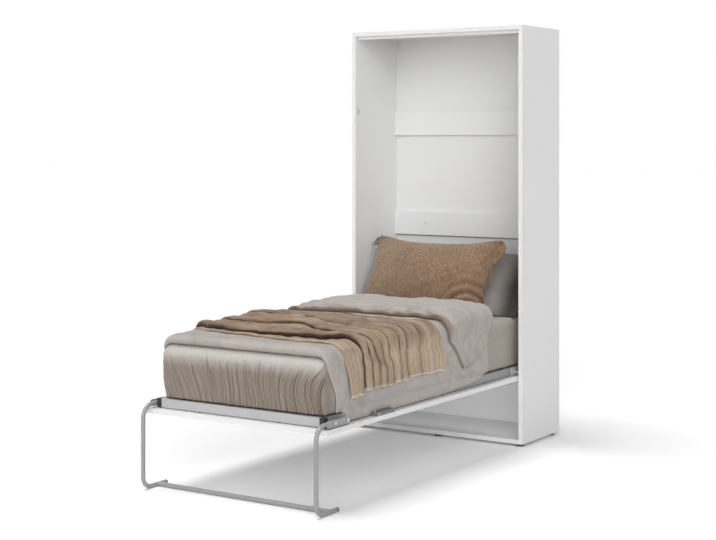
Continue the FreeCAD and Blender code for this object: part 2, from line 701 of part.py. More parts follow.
def leg_pivot_bolt(name):
    inner = "rail_half"
    shank = rod(name + "_shank", "x", "leg_bolt_radius",
                "leg_half + leg_radius + arm_thick + side_clear - rail_in",
                ("rail_in", "leg_pivot_y", "leg_top_z"))
    shoulder = rod(name + "_shoulder", "x", "leg_shoulder", "leg_rail_gap - side_clear",
                   (inner, "leg_pivot_y", "leg_top_z"))
    head = rod(name + "_head", "x", "leg_bolt_head", "leg_bolt_head_high",
               ("leg_half + leg_radius + arm_thick + side_clear", "leg_pivot_y", "leg_top_z"))
    return fuse(name, shank, shoulder, head)


def leg_cap(name):
    plug = rod(name + "_plug", "y", "leg_radius - leg_wall - hole_clearance", "2 * leg_cap_long",
               ("leg_half", "leg_foot_end - 2 * leg_cap_long", "leg_radius"))
    face = rod(name + "_face", "y", "leg_radius", "leg_cap_long",
               ("leg_half", "leg_foot_end", "leg_radius"))
    return fuse(name, plug, face)


node_pair("leg_tube", leg_tube)
node_both("leg_bushes", leg_bush)
node_pair("leg_arm", leg_arm)
node_both("leg_rivets", leg_rivet)
node_both("leg_pivot_bolts", leg_pivot_bolt)
node_both("leg_end_caps", leg_cap)


def crossbar():
    def bar(name, radius, past):
        return rod(name, "x", radius, f"2 * (leg_half + {past})",
                   (f"-(leg_half + {past})", "leg_y + crossbar_offset",
                    "leg_radius + crossbar_lift"))
    tubes = group("crossbar_trim", NODES["leg_tube_right"], NODES["leg_tube_left"],
                  *[rod(f"crossbar_core_{side}", "y", "leg_radius", "leg_foot_length",
                        (f"{sign}leg_half", "leg_y", "leg_radius"))
                    for side, sign in (("right", ""), ("left", "-"))])
    return cut("crossbar_tube", bar("crossbar_outside", "leg_radius", "0"),
               bar("crossbar_hollow", "leg_radius - leg_wall", "overrun"), tubes)


node("leg_crossbar", crossbar())

# Gas struts in the side gaps, modelled upright at their top eye and then leaned onto their line

STRUT_LEAN = "-asin((strut_top_y - strut_low_y) / strut_run)"


def leaned(name, make):
    """Build a strut piece hanging down from the origin, then lean it and hang it on its eye."""
    piece = make(name)
    result = doc.addObject("Part::Compound", name + "_leaned")
    result.Links = [piece]
    result.Placement = Placement(Vector(), Rotation(Vector(1, 0, 0), 1))
    bind(result, Placement__Rotation__Angle=STRUT_LEAN)
    put(result, "strut_half", "strut_top_y", "strut_top_z")
    return result


def strut_tube(name):
    eye = rod(name + "_eye", "x", "strut_eye_radius", "2 * strut_eye_half",
              ("-strut_eye_half", "0", "0"))
    neck = rod(name + "_neck", "z", "strut_neck_radius", "2 * strut_eye_radius",
               ("0", "0", "-2 * strut_eye_radius"))
    barrel = rod(name + "_barrel", "z", "strut_radius",
                 "strut_run - strut_tube_end - 2 * strut_eye_radius",
                 ("0", "0", "-(strut_run - strut_tube_end)"))
    stud_bore = rod(name + "_stud_bore", "x", "stud_radius + pin_running",
                    "2 * strut_eye_half + 2 * overrun", ("-strut_eye_half - overrun", "0", "0"))
    rod_bore = rod(name + "_rod_bore", "z", "rod_radius + pin_running",
                   "strut_run - strut_tube_end - strut_rod_top + 2 * overrun",
                   ("0", "0", "-(strut_run - strut_tube_end) - overrun"))
    return cut(name, fuse(name + "_body", eye, neck, barrel), stud_bore, rod_bore)


def strut_rod(name):
    stem = rod(name + "_stem", "z", "rod_radius", "strut_run - strut_rod_top",
               ("0", "0", "-strut_run"))
    cup = rod(name + "_cup", "x", "rod_cup_radius", "2 * rod_cup_half",
              ("-rod_cup_half", "0", "-strut_run"))
    return fuse(name, stem, cup)


def strut_plate(name):
    plate = box(name + "_plate", ("inner_half - strut_plate_thick", "inner_half"),
                ("strut_top_y - strut_plate_half / 2", "strut_top_y + strut_plate_half / 2"),
                ("strut_top_z - strut_plate_half", "strut_top_z + strut_plate_half"))
    stud = rod(name + "_stud", "x", "stud_radius",
               "inner_half - strut_plate_thick - strut_half + strut_eye_half",
               ("strut_half - strut_eye_half", "strut_top_y", "strut_top_z"))
    return fuse(name, cut(name + "_drilled", plate, plate_holes), stud)


def strut_stud(name):
    """The stud on the bed's side rail that the rod's cup sits against."""
    return rod(name, "x", "stud_radius",
               "strut_half - rod_cup_half - side_clear - rail_half",
               ("rail_half", "strut_low_y", "strut_low_z"))


node_pair("strut_cylinder", lambda name: leaned(name, strut_tube))
node_pair("strut_rod", lambda name: leaned(name, strut_rod))
node_pair("strut_plate", strut_plate)
node_both("strut_studs", strut_stud)

# Side bolts: a case on the door panel's edge, a sliding bolt and a strike plate on the cabinet

LATCH_SLOT = ("latch_y - latch_knob_radius - latch_slot_clear",
              "latch_y + latch_knob_radius + latch_slot_clear")


def latch_case(name):
    block = box(name + "_block", ("latch_in", "latch_out"),
                ("latch_y - latch_case_past", "latch_y - latch_case_past + latch_case_long"),
                ("door_top", "door_top + latch_case_tall"))
    bore = rod(name + "_bore", "x", "latch_radius + pin_running",
               "latch_out - latch_in - latch_tail_in + overrun",
               ("latch_in + latch_tail_in", "latch_y", "latch_z"))
    knob = "latch_out - latch_knob_in"
    slot = box(name + "_slot",
               (f"{knob} - latch_knob_radius - latch_slot_clear",
                f"{knob} + latch_travel + latch_knob_radius + latch_slot_clear"),
               LATCH_SLOT, ("latch_z", "door_top + latch_case_tall + overrun"))
    return cut(name, block, bore, slot)


def latch_bolt(name):
    bar = rod(name + "_bar", "x", "latch_radius",
              "latch_out - latch_in - latch_tail_in - side_clear",
              ("latch_in + latch_tail_in + side_clear", "latch_y", "latch_z"))
    knob = rod(name + "_knob", "z", "latch_knob_radius",
               "latch_case_tall / 2 + latch_knob_proud",
               ("latch_out - latch_knob_in", "latch_y", "latch_z"))
    return fuse(name, bar, knob)


def strike_plate(name):
    plate = box(name + "_plate", ("inner_half - strike_thick", "inner_half"),
                ("strike_y - strike_wide / 2", "strike_y + strike_wide / 2"),
                ("strike_z - strike_tall / 2", "strike_z + strike_tall / 2"))
    hole = rod(name + "_hole", "x", "strike_hole_radius", "strike_thick + 2 * overrun",
               ("inner_half - strike_thick - overrun", "strike_y", "strike_z"))
    return cut(name, plate, hole)


node_pair("latch_case", latch_case)
node_pair("latch_bolt", latch_bolt)
node_both("strike_plates", strike_plate)

# Mattress and fitted sheet: a rounded block and the skin that covers it


def rounded_block(half, y, z, radius):
    block = Part.makeBox(2 * half, y[1] - y[0], z[1] - z[0], Vector(-half, y[0], z[0]))
    return block.makeFillet(radius, block.Edges)


def mattress_block(spread):
    """The mattress, or its outline grown by some spread on every side but the bottom."""
    return rounded_block(value("mattress_half") + spread,
                         (value("mattress_foot") - spread, value("head_end") + spread),
                         (value("bed_top") + value("soft_gap"), value("mattress_top") + spread),
                         value("mattress_round") + spread)


def sheet_skin():
    inside = mattress_block(value("soft_gap"))
    outside = mattress_block(value("soft_gap") + value("sheet_thick"))
    below = Part.makeBox(2 * value("width"), 2 * value("height"),
                         value("board") + value("sheet_hem_up"),
                         Vector(-value("width"), -value("height"),
                                value("bed_top") - value("board")))
    return outside.cut(inside).cut(below)


node("mattress", shaped("mattress_block", mattress_block(0)))
node("fitted_sheet", shaped("sheet_skin", sheet_skin()))

# Duvet and throw: arches over the bed, lofted through sections along it


QUARTER_DEGREES = 90


def arch(y, half_in, half_out, under, top, low_left, low_right, round_in, round_out):
    """A closed section at y: up one side, over the top and down the other, with a thickness."""
    def bend(centre_x, centre_z, radius, start):
        ends = [math.radians(start + turn) for turn in (0, QUARTER_DEGREES / 2, QUARTER_DEGREES)]
        points = [Vector(centre_x + radius * math.cos(angle), y,
                         centre_z + radius * math.sin(angle)) for angle in ends]
        return points, Part.Arc(*points).toShape()
    right_out, right_out_arc = bend(half_out - round_out, top - round_out, round_out, 0)
    left_out, left_out_arc = bend(-half_out + round_out, top - round_out, round_out,
                                  QUARTER_DEGREES)
    left_in, left_in_arc = bend(-half_in + round_in, under - round_in, round_in,
                                QUARTER_DEGREES)
    right_in, right_in_arc = bend(half_in - round_in, under - round_in, round_in, 0)
    hem_out_right, hem_in_right = (Vector(half, y, low_right) for half in (half_out, half_in))
    hem_out_left, hem_in_left = (Vector(-half, y, low_left) for half in (half_out, half_in))
    edges = [
        Part.makeLine(hem_out_right, right_out[0]), right_out_arc,
        Part.makeLine(right_out[2], left_out[0]), left_out_arc,
        Part.makeLine(left_out[2], hem_out_left), Part.makeLine(hem_out_left, hem_in_left),
        Part.makeLine(hem_in_left, left_in[2]), left_in_arc,
        Part.makeLine(left_in[0], right_in[2]), right_in_arc,
        Part.makeLine(right_in[0], hem_in_right), Part.makeLine(hem_in_right, hem_out_right),
    ]
    return Part.Wire(edges)


def ruled_solid(sections):
    return Part.makeLoft(sections, True, True)


# Share of the duvet's length, share of its puff, and share of its side drop at each station
DUVET_STATION_SHARES = (
    (0.000, 0.13, 0.10), (0.030, 0.30, 0.30), (0.055, 0.36, 1.00), (0.150, 0.50, 1.00),
    (0.400, 0.66, 1.00), (0.670, 0.74, 1.00), (0.700, 0.92, 1.00), (0.850, 1.00, 1.00),
    (0.915, 1.00, 0.95), (0.960, 0.90, 0.45), (1.000, 0.62, 0.12),
)
DUVET_PUFF_SHARE = 0.44


def duvet_stations():
    """Real places of the stations: how far along, the top's height and the hem's height."""
    foot = value("duvet_foot")
    length = value("duvet_head") - foot
    puff = DUVET_PUFF_SHARE * value("mattress_high")
    hem_top = value("duvet_under") - value("mattress_round")
    hem_low = value("rail_top") + value("duvet_hem_up")
    return [(foot + along * length, value("duvet_under") + up * puff,
             hem_top + (hem_low - hem_top) * drop)
            for along, up, drop in DUVET_STATION_SHARES]


def duvet_top_at(y):
    stations = duvet_stations()
    for (y0, top0, _), (y1, top1, _) in zip(stations, stations[1:]):
        if y0 <= y <= y1:
            return top0 + (top1 - top0) * (y - y0) / (y1 - y0)
    raise ValueError("no duvet under the throw here")


def duvet_round_for(top):
    """The outer corner of the duvet is as round as its height over the mattress allows."""
    return min(value("duvet_round"), value("mattress_round") + top - value("duvet_under"))


def duvet_skirts():
    """Over the side rails the hem slopes out, and hangs as a thin skirt down their outer face."""
    inside, skirt_in = value("duvet_in"), value("skirt_in")
    skirt_out = skirt_in + value("duvet_skirt")
    hem = value("rail_top") + value("duvet_hem_up")
    lip, slope = hem + value("duvet_skirt_lip"), hem + value("duvet_skirt_slope")
    foot = value("skirt_foot")
    level = foot + value("duvet_skirt_level")
    head = level + value("duvet_skirt_rise")
    over_rail = [Vector(x, foot, z) for x, z in (
        (inside, hem), (inside, slope), (value("duvet_out"), slope), (skirt_out, lip),
        (skirt_out, hem))]
    skirt = [Vector(skirt_in, y, z) for y, z in (
        (foot, value("skirt_low")), (level, value("skirt_low")), (head, hem), (head, lip),
        (foot, lip))]
    web = Part.Face(Part.makePolygon(over_rail + over_rail[:1])).extrude(Vector(0, head - foot, 0))
    hanging = Part.Face(Part.makePolygon(skirt + skirt[:1])).extrude(
        Vector(skirt_out - skirt_in, 0, 0))
    right = web.fuse(hanging)
    return right, right.mirror(Vector(), Vector(1, 0, 0))


def duvet_solid():
    sections = []
    for y, top, low in duvet_stations():
        sections.append(arch(y, value("duvet_in"), value("duvet_out"), value("duvet_under"), top,
                             low, low, value("mattress_round"), duvet_round_for(top)))
    return ruled_solid(sections).fuse(duvet_skirts()).removeSplitter()


THROW_FOLDS = 8


def throw_solid():
    """Long folds run across the bed: ridge and valley sections take turns along it."""
    foot, head = value("throw_foot"), value("throw_head")
    stations = {foot + (head - foot) * step / (2 * THROW_FOLDS)
                for step in range(2 * THROW_FOLDS + 1)}
    ridges = sorted(stations)
    breaks = [y for y, _, _ in duvet_stations() if foot < y < head]
    sections = []
    for y in sorted(ridges + breaks):
        lift_share = fold_share(y, ridges)
        top = duvet_top_at(y)
        round_in = duvet_round_for(top)
        out = value("throw_out") - value("throw_fold_out") * (1 - lift_share)
        high = top + value("soft_gap") + value("throw_side") / 2 \
            + value("throw_fold_high") * lift_share
        sections.append(arch(y, value("throw_in"), out, top + value("soft_gap"), high,
                             value("throw_low_left"), value("throw_low"),
                             round_in, round_in + value("throw_side") / 2))
    return ruled_solid(sections)


def fold_share(y, ridges):
    """0 in a valley and 1 on a ridge, in a straight line between them."""
    for number, (y0, y1) in enumerate(zip(ridges, ridges[1:])):
        if y0 <= y <= y1:
            part = (y - y0) / (y1 - y0)
            return part if number % 2 == 0 else 1 - part
    return 0.0


node("duvet", shaped("duvet_arch", duvet_solid()))
node("throw_blanket", shaped("throw_arch", throw_solid()))

# Pillows: a lens section lofted across the bed, thin at both ends and drawn in between corners

# Share of the half width across, of the height and of the thickness at each section
PILLOW_SHARES = (
    (-1.00, 0.97, 0.08), (-0.97, 1.00, 0.22), (-0.90, 0.98, 0.44), (-0.78, 0.95, 0.67),
    (-0.60, 0.92, 0.86), (-0.35, 0.90, 0.96), (0.00, 0.89, 1.00), (0.35, 0.90, 0.96),
    (0.60, 0.92, 0.86), (0.78, 0.95, 0.67), (0.90, 0.98, 0.44), (0.97, 1.00, 0.22),
    (1.00, 0.97, 0.08),
)


def pillow_shape(wide, tall, thick, lean):
    """A pillow that leans back from its long lower edge, with its lowest point at height zero."""
    sections = []
    for across, high, deep in PILLOW_SHARES:
        x = across * wide / 2
        low_end = Vector(x, 0, tall / 2 * (1 - high))
        top_end = Vector(x, 0, tall / 2 * (1 + high))
        front, back = (Vector(x, side * deep * thick / 2, tall / 2) for side in (-1, 1))
        sections.append(Part.Wire([Part.Arc(low_end, front, top_end).toShape(),
                                   Part.Arc(top_end, back, low_end).toShape()]))
    cushion = ruled_solid(sections)
    cushion.rotate(Vector(), Vector(1, 0, 0), -lean)
    cushion.translate(Vector(0, 0, -cushion.optimalBoundingBox(False).ZMin))
    return cushion


def pillow(name, key):
    solid = shaped(name + "_cushion", pillow_shape(*(value(f"{key}_{size}") for size in (
        "wide", "tall", "thick", "lean_degrees"))))
    put(solid, f"{key}_x", f"{key}_y", "sheet_top + soft_gap")
    node(name, solid)


pillow("pillow_tan", "tan")
pillow("pillow_grey", "grey")

# Check every object, then write each piece to its own file

doc.recompute()
for thing in doc.Objects:
    if {"Invalid", "Error"} & set(thing.State):
        raise RuntimeError(f"{thing.Name} failed: {thing.State}")
for name, thing in NODES.items():
    if thing.Shape.isNull() or not thing.Shape.isValid() or not thing.Shape.Solids:
        raise RuntimeError(f"{name} has no valid solid")

os.makedirs("parts", exist_ok=True)
for name, thing in NODES.items():
    thing.Shape.exportStep(f"parts/{name}.step")

whole = Part.makeCompound([thing.Shape for thing in NODES.values()]).optimalBoundingBox(False)
print(f"{len(NODES)} pieces, box {whole.XMin:.1f} {whole.YMin:.1f} {whole.ZMin:.1f} to "
      f"{whole.XMax:.1f} {whole.YMax:.1f} {whole.ZMax:.1f}")
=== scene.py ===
import math

import bmesh
import bpy
import numpy as np
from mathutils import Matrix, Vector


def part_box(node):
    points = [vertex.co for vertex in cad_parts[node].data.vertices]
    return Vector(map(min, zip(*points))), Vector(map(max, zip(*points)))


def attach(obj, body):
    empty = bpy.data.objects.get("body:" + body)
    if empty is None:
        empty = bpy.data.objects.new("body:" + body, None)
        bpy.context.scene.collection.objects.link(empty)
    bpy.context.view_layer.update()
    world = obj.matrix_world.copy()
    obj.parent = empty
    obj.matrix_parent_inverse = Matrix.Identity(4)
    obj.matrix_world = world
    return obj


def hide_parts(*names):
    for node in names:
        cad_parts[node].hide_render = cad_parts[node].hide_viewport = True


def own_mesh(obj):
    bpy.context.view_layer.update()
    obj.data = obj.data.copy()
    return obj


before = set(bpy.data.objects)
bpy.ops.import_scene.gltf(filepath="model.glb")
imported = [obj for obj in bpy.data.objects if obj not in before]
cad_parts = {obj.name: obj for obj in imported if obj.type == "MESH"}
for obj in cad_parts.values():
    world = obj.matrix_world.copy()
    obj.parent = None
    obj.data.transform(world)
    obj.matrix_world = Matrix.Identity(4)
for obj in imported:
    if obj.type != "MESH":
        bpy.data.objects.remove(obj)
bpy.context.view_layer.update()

# Camera
# It stands to the right of the open bed, level with the upper cross rail, and looks flat ahead,
# so the cabinet's boards stay upright. The lens shift brings the bed into the frame.


def stand(name, data):
    """Put a new object at the scene's origin."""
    thing = bpy.data.objects.new(name, data)
    bpy.context.scene.collection.objects.link(thing)
    return thing


camera = stand("camera", bpy.data.cameras.new("camera"))
bpy.context.scene.camera = camera
camera.location = (4.0615, -6.2281, 1.5801)
camera.rotation_euler = (math.radians(90), 0, math.radians(33.370))
camera.data.sensor_width = 36
camera.data.lens = 75.357
camera.data.shift_y = -0.18055

# Studio
# A pale seamless floor under a white sky, with one broad lamp above the bed, three soft ones in
# front, and a small one inside the foot of the cabinet. The floor keeps the bed's shadow.


class Wire:
    """A value or colour in a tree of nodes; a sum written on it adds its Math nodes."""

    def __init__(self, tree, socket=None):
        self.tree = tree
        self.socket = socket

    def node(self, kind, settings=None, sockets=None, out=0):
        """Any other node: its settings first, then the numbers or wires of its sockets."""
        made = self.tree.nodes.new(kind)
        for name, setting in (settings or {}).items():
            if name == "stops":
                while len(made.color_ramp.elements) < len(setting):
                    made.color_ramp.elements.new(0.5)
                for element, (place, colour) in zip(made.color_ramp.elements, setting):
                    element.position = place
                    element.color = colour
            else:
                setattr(made, name, setting)
        for name, given in (sockets or {}).items():
            if isinstance(given, Wire):
                self.tree.links.new(given.socket, made.inputs[name])
            else:
                made.inputs[name].default_value = given
        return Wire(self.tree, made.outputs[out] if made.outputs else None)

    def maths(self, operation, first, second=0.0):
        return self.node("ShaderNodeMath", {"operation": operation}, {0: first, 1: second})

    def __add__(self, other):
        return self.maths("ADD", self, other)

    def __radd__(self, other):
        return self.maths("ADD", other, self)

    def __sub__(self, other):
        return self.maths("SUBTRACT", self, other)

    def __rsub__(self, other):
        return self.maths("SUBTRACT", other, self)

    def __mul__(self, other):
        return self.maths("MULTIPLY", self, other)

    def __rmul__(self, other):
        return self.maths("MULTIPLY", other, self)


def start_material(name):
    material = bpy.data.materials.new(name)
    material.use_nodes = True
    material.node_tree.nodes.clear()
    return material, Wire(material.node_tree)


def seen_rays(wire):
    """1 for the rays that show the background: straight ones, mirrored ones or through glass."""
    rays = [wire.node("ShaderNodeLightPath", out=name) for name in
            ("Is Camera Ray", "Is Glossy Ray", "Is Transmission Ray")]
    return rays[0] + rays[1] + rays[2]


WHITE = (1.0, 1.0, 1.0, 1)
SKY_LIGHT = 0.095
FLOOR_WHITE = (0.93, 0.93, 0.93, 1)
FLOOR_LIFT = 0.10
FLOOR_HALF = 60.0
FLOOR_Z = -0.0004

bpy.context.scene.view_settings.view_transform = "Standard"
world = bpy.data.worlds.new("studio_sky")
bpy.context.scene.world = world
world.use_nodes = True
world.node_tree.nodes.clear()
sky = Wire(world.node_tree)
dim_sky, white_sky = (sky.node("ShaderNodeBackground", {}, {"Color": WHITE, "Strength": light})
                      for light in (SKY_LIGHT, 1.0))
sky.node("ShaderNodeOutputWorld", {}, {
    "Surface": sky.node("ShaderNodeMixShader", {}, {0: seen_rays(sky), 1: dim_sky, 2: white_sky})})

# The floor is lifted to white only where it is looked at
floor_material, wire = start_material("studio_floor")
floor_paint = wire.node("ShaderNodeBsdfDiffuse", {}, {"Color": FLOOR_WHITE})
floor_glow = wire.node("ShaderNodeEmission", {}, {"Strength": seen_rays(wire) * FLOOR_LIFT})
wire.node("ShaderNodeOutputMaterial", {}, {
    "Surface": wire.node("ShaderNodeAddShader", {}, {0: floor_paint, 1: floor_glow})})
floor_mesh = bpy.data.meshes.new("studio_floor")
floor_mesh.from_pydata([(x * FLOOR_HALF, y * FLOOR_HALF, FLOOR_Z)
                        for x, y in ((-1, -1), (1, -1), (1, 1), (-1, 1))], [], [(0, 1, 2, 3)])
floor_mesh.materials.append(floor_material)
stand("studio_floor", floor_mesh)

for lamp_name, strength, spread, tilt in (("top_lamp", 1.96, 30, (5, -13, 0)),
                                          ("high_right_lamp", 0.90, 40, (52, 0, 40)),
                                          ("low_right_lamp", 1.20, 40, (78, 0, 36)),
                                          ("front_lamp", 0.48, 40, (80, 0, 0))):
    lamp = bpy.data.lights.new(lamp_name, "SUN")
    lamp.energy = strength
    lamp.angle = math.radians(spread)
    stand(lamp_name, lamp).rotation_euler = [math.radians(turn) for turn in tilt]
fill = bpy.data.lights.new("foot_fill", "AREA")
fill.shape = "RECTANGLE"
fill.size = 0.9
fill.size_y = 0.12
fill.energy = 0.36
fill_object = stand("foot_fill", fill)
fill_object.location = (0.0, 0.71, 0.20)
fill_object.rotation_euler = (math.radians(96), 0, 0)
fill_object.visible_camera = False

# Cabinet feet
# Six round glides of black moulded plastic, pressed under the cabinet and each held by a screw.
# The plastic is slightly rough, and duller where it was scuffed along the floor.


def object_place(wire):
    return wire.node("ShaderNodeTexCoord", out="Object")


def noise(wire, place, scale, detail, rough=0.5, twist=0.0, kind="FBM"):
    return wire.node("ShaderNodeTexNoise", {"noise_type": kind}, {
        "Vector": place, "Scale": scale, "Detail": detail, "Roughness": rough,
        "Distortion": twist})


def bump(wire, height, strength, distance, **under):
    return wire.node("ShaderNodeBump", {}, {
        "Strength": strength, "Distance": distance, "Height": height, **under})


def surface(wire, sockets):
    """The principled shader, joined to the material's output."""
    shader = wire.node("ShaderNodeBsdfPrincipled", {}, sockets)
    wire.node("ShaderNodeOutputMaterial", {}, {"Surface": shader})


def moulded_plastic(name, colour, roughness, grain):
    """Moulded plastic: one colour through and through with a fine spark-eroded grain."""
    material, wire = start_material(name)
    place = object_place(wire)
    speck = noise(wire, place, 900.0, 3.0, 0.6)
    wear = noise(wire, place, 22.0, 4.0)
    surface(wire, {
        "Base Color": colour, "Roughness": roughness + (wear - 0.5) * 0.16,
        "Normal": bump(wire, speck, grain, 0.0002), "Specular IOR Level": 0.45})
    return material


def finish(material, *names):
    """Give a CAD node's own faces their finish."""
    for name in names:
        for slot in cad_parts[name].material_slots:
            slot.material = material


black_plastic = moulded_plastic("black_plastic", (0.018, 0.018, 0.019, 1), 0.52, 0.5)
finish(black_plastic, "cabinet_feet")

# Cabinet boards
# Two sides, a top, a bottom, a stop strip and two cross rails of chipboard faced with white
# melamine, edged all round and joined with blind dowels, so no fixing shows.

# The painted shadow line under the lower cross rail: its height, how far it runs up behind the
# rail, and its tone
PAINTED_SHADOW_HIGH = 0.0075
PAINTED_SHADOW_HIDDEN = 0.002
PAINTED_SHADOW_TONE = 0.36


def mixed(wire, share, first, second):
    return wire.node("ShaderNodeMix", {"data_type": "RGBA"}, {0: share, 6: first, 7: second}, out=2)


def axis_of(wire, place, axis):
    return wire.node("ShaderNodeSeparateXYZ", {}, {"Vector": place}, out=axis)


def dimmed(colour, share):
    return [part * share for part in colour[:3]] + [1]


def melamine_board(name, colour, roughness, shadow_line=None):
    """Pressed white facing: even, faintly pearled and satin, with a painted shadow line under a
    rail.
    """
    material, wire = start_material(name)
    place = object_place(wire)
    pearl = noise(wire, place, 420.0, 4.0, 0.65)
    cloud = noise(wire, place, 3.0, 3.0)
    tone = mixed(wire, cloud, dimmed(colour, 0.985), colour)
    # Painted shadow: a dark line just below the rail, on the boards' inner face only
    if shadow_line is not None:
        below = shadow_line.z - axis_of(wire, place, 2)
        behind = axis_of(wire, place, 1) - shadow_line.y
        painted_shadow = wire.maths("LESS_THAN", below, PAINTED_SHADOW_HIGH) \
            * wire.maths("GREATER_THAN", below, -PAINTED_SHADOW_HIDDEN) \
            * wire.maths("LESS_THAN", behind, 0.001)
        tone = mixed(wire, painted_shadow, tone, dimmed(colour, PAINTED_SHADOW_TONE))
    surface(wire, {
        "Base Color": tone, "Roughness": roughness + (cloud - 0.5) * 0.08,
        "Normal": bump(wire, pearl, 0.35, 0.0002), "Specular IOR Level": 0.4})
    return material


white_board = melamine_board("white_board", (0.77, 0.77, 0.77, 1), 0.46)
finish(white_board, "side_panel_left", "side_panel_right", "top_panel", "bottom_panel",
       "top_stop_strip", "cross_rail_lower", "cross_rail_upper", "carcass_dowels")

# Back sheets
# Three sheets of thin hardboard, lacquered white on the inside, which meet behind the cross
# rails. Just below the lower rail, a painted shadow line on the sheets stands in for the shade of
# the gap under it.

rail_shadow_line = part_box("cross_rail_lower")[0]
rail_shadow_line.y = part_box("back_sheet_lower")[0].y
backing_board = melamine_board("backing_board", (0.745, 0.745, 0.745, 1), 0.58, rail_shadow_line)
finish(backing_board, "back_sheet_lower", "back_sheet_middle", "back_sheet_upper")

# Screws of the back sheets
# Sixteen countersunk steel screws with a cross recess hold the sheets to the cross rails. Each
# is set flush with the sheet.

SCREW_HEAD = 0.0060
SCREW_DEEP = 0.0016
SCREW_ROW = 0.028


def stretched(wire, place, scale):
    return wire.node("ShaderNodeMapping", {}, {"Vector": place, "Scale": scale})


def plated_steel(name, colour, roughness):
    """Zinc-plated or brushed steel: metal with fine streaks in its gloss."""
    material, wire = start_material(name)
    place = object_place(wire)
    streak = noise(wire, stretched(wire, place, (60.0, 60.0, 900.0)), 1.0, 4.0)
    cloud = noise(wire, place, 35.0, 2.0)
    surface(wire, {
        "Base Color": colour, "Metallic": 1.0, "Normal": bump(wire, streak, 0.15, 0.0001),
        "Roughness": roughness + (streak - 0.5) * 0.12 + (cloud - 0.5) * 0.1})
    return material


def start_recipe(name, sizes):
    """A Geometry Nodes tree with one named input for each size; it gives the inputs' wires."""
    tree = bpy.data.node_groups.new(name, "GeometryNodeTree")
    tree.interface.new_socket("Made", in_out="OUTPUT", socket_type="NodeSocketGeometry")
    tree.interface.new_socket("Start", in_out="INPUT", socket_type="NodeSocketGeometry")
    for size, value in sizes.items():
        kind = "NodeSocketInt" if isinstance(value, int) else "NodeSocketFloat"
        tree.interface.new_socket(size, in_out="INPUT", socket_type=kind)
    entry = tree.nodes.new("NodeGroupInput")
    return Wire(tree), {size: Wire(tree, entry.outputs[size]) for size in ["Start", *sizes]}


def vector(wire, x=0.0, y=0.0, z=0.0):
    return wire.node("ShaderNodeCombineXYZ", {}, {"X": x, "Y": y, "Z": z})


def moved(wire, shape, turn=(0, 0, 0), place=(0.0, 0.0, 0.0)):
    return wire.node("GeometryNodeTransform", {}, {
        "Geometry": shape, "Rotation": [math.radians(part) for part in turn],
        "Translation": place})


def joined(wire, shapes):
    join = wire.node("GeometryNodeJoinGeometry")
    for shape in shapes:
        wire.tree.links.new(shape.socket, join.socket.node.inputs["Geometry"])
    return join


def repeated(wire, places, shape, scale=(1.0, 1.0, 1.0)):
    """One copy of a shape at each place."""
    copies = wire.node("GeometryNodeInstanceOnPoints", {}, {
        "Points": places, "Instance": shape, "Scale": scale})
    return wire.node("GeometryNodeRealizeInstances", {}, {0: copies})


def as_made(piece):
    """The mesh that an object's modifiers make."""
    return bpy.data.meshes.new_from_object(
        piece.evaluated_get(bpy.context.evaluated_depsgraph_get()))


def make_from(wire, shape, name, sizes, material, start=None):
    """Run the tree on a start mesh, and keep what it makes as one plain mesh."""
    plain = wire.node("GeometryNodeRealizeInstances", {}, {0: shape})
    dressed = wire.node("GeometryNodeSetMaterial", {}, {"Geometry": plain, "Material": material})
    wire.node("NodeGroupOutput", {}, {"Made": dressed})
    piece = stand(name, start or bpy.data.meshes.new(name))
    recipe = piece.modifiers.new("recipe", "NODES")
    recipe.node_group = wire.tree
    for socket in wire.tree.interface.items_tree:
        if socket.in_out == "INPUT" and socket.name in sizes:
            recipe[socket.identifier] = sizes[socket.name]
    made = as_made(piece)
    piece.modifiers.remove(recipe)
    made.name = name
    piece.data = made
    return piece


bright_steel = plated_steel("bright_steel", (0.62, 0.62, 0.61, 1), 0.32)
finish(bright_steel, "foot_screws", "plate_screws", "strike_plates", "frame_screws")
screws_low, screws_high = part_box("back_sheet_screws")
screw_sizes = {
    "Head": SCREW_HEAD, "Deep": SCREW_DEEP, "Recess": 0.0036, "Recess width": 0.0008,
    "Across": screws_high.x - screws_low.x - SCREW_HEAD, "Row": SCREW_ROW,
    "Rail": screws_high.z - screws_low.z - SCREW_ROW - SCREW_HEAD, "Columns": 4}
wire, size = start_recipe("back_sheet_screw_set", screw_sizes)
head = wire.node("GeometryNodeMeshCone", {"fill_type": "NGON"}, {
    "Vertices": 24, "Radius Top": size["Head"] * 0.5, "Radius Bottom": size["Head"] * 0.25,
    "Depth": size["Deep"]})
bar = wire.node("GeometryNodeMeshCube", {}, {
    "Size": vector(wire, size["Recess"], size["Recess width"], size["Deep"])})
cross = joined(wire, [moved(wire, bar, (0, 0, turn), vector(wire, z=size["Deep"]))
                      for turn in (35, 125)])
cut_head = wire.node("GeometryNodeMeshBoolean", {"operation": "DIFFERENCE", "solver": "MANIFOLD"},
                     {"Mesh 1": head, "Mesh 2": cross})
# Two rows of four on each of the two rails
rows = wire.node("GeometryNodeMeshGrid", {}, {
    "Size X": size["Across"], "Size Y": size["Row"], "Vertices X": size["Columns"],
    "Vertices Y": 2})
rails = wire.node("GeometryNodeMeshLine", {"mode": "OFFSET"}, {
    "Count": 2, "Offset": vector(wire, z=size["Rail"])})
screw_places = repeated(wire, rails, moved(wire, rows, (90, 0, 0)))
screw_set = moved(
    wire, repeated(wire, screw_places, moved(wire, cut_head, (-90, 0, 0))),
    place=(0.0, screws_high.y - SCREW_DEEP, screws_low.z + (SCREW_HEAD + SCREW_ROW) / 2))
back_screws = make_from(wire, screw_set, "back_screw_heads", screw_sizes, bright_steel)
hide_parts("back_sheet_screws")
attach(back_screws, "cabinet")

# Pivot plates and strut plates
# Steel plates screwed to the inner faces of the side panels. They carry the bed's pins in white
# nylon bushes, and the upper ends of the gas struts on short studs.

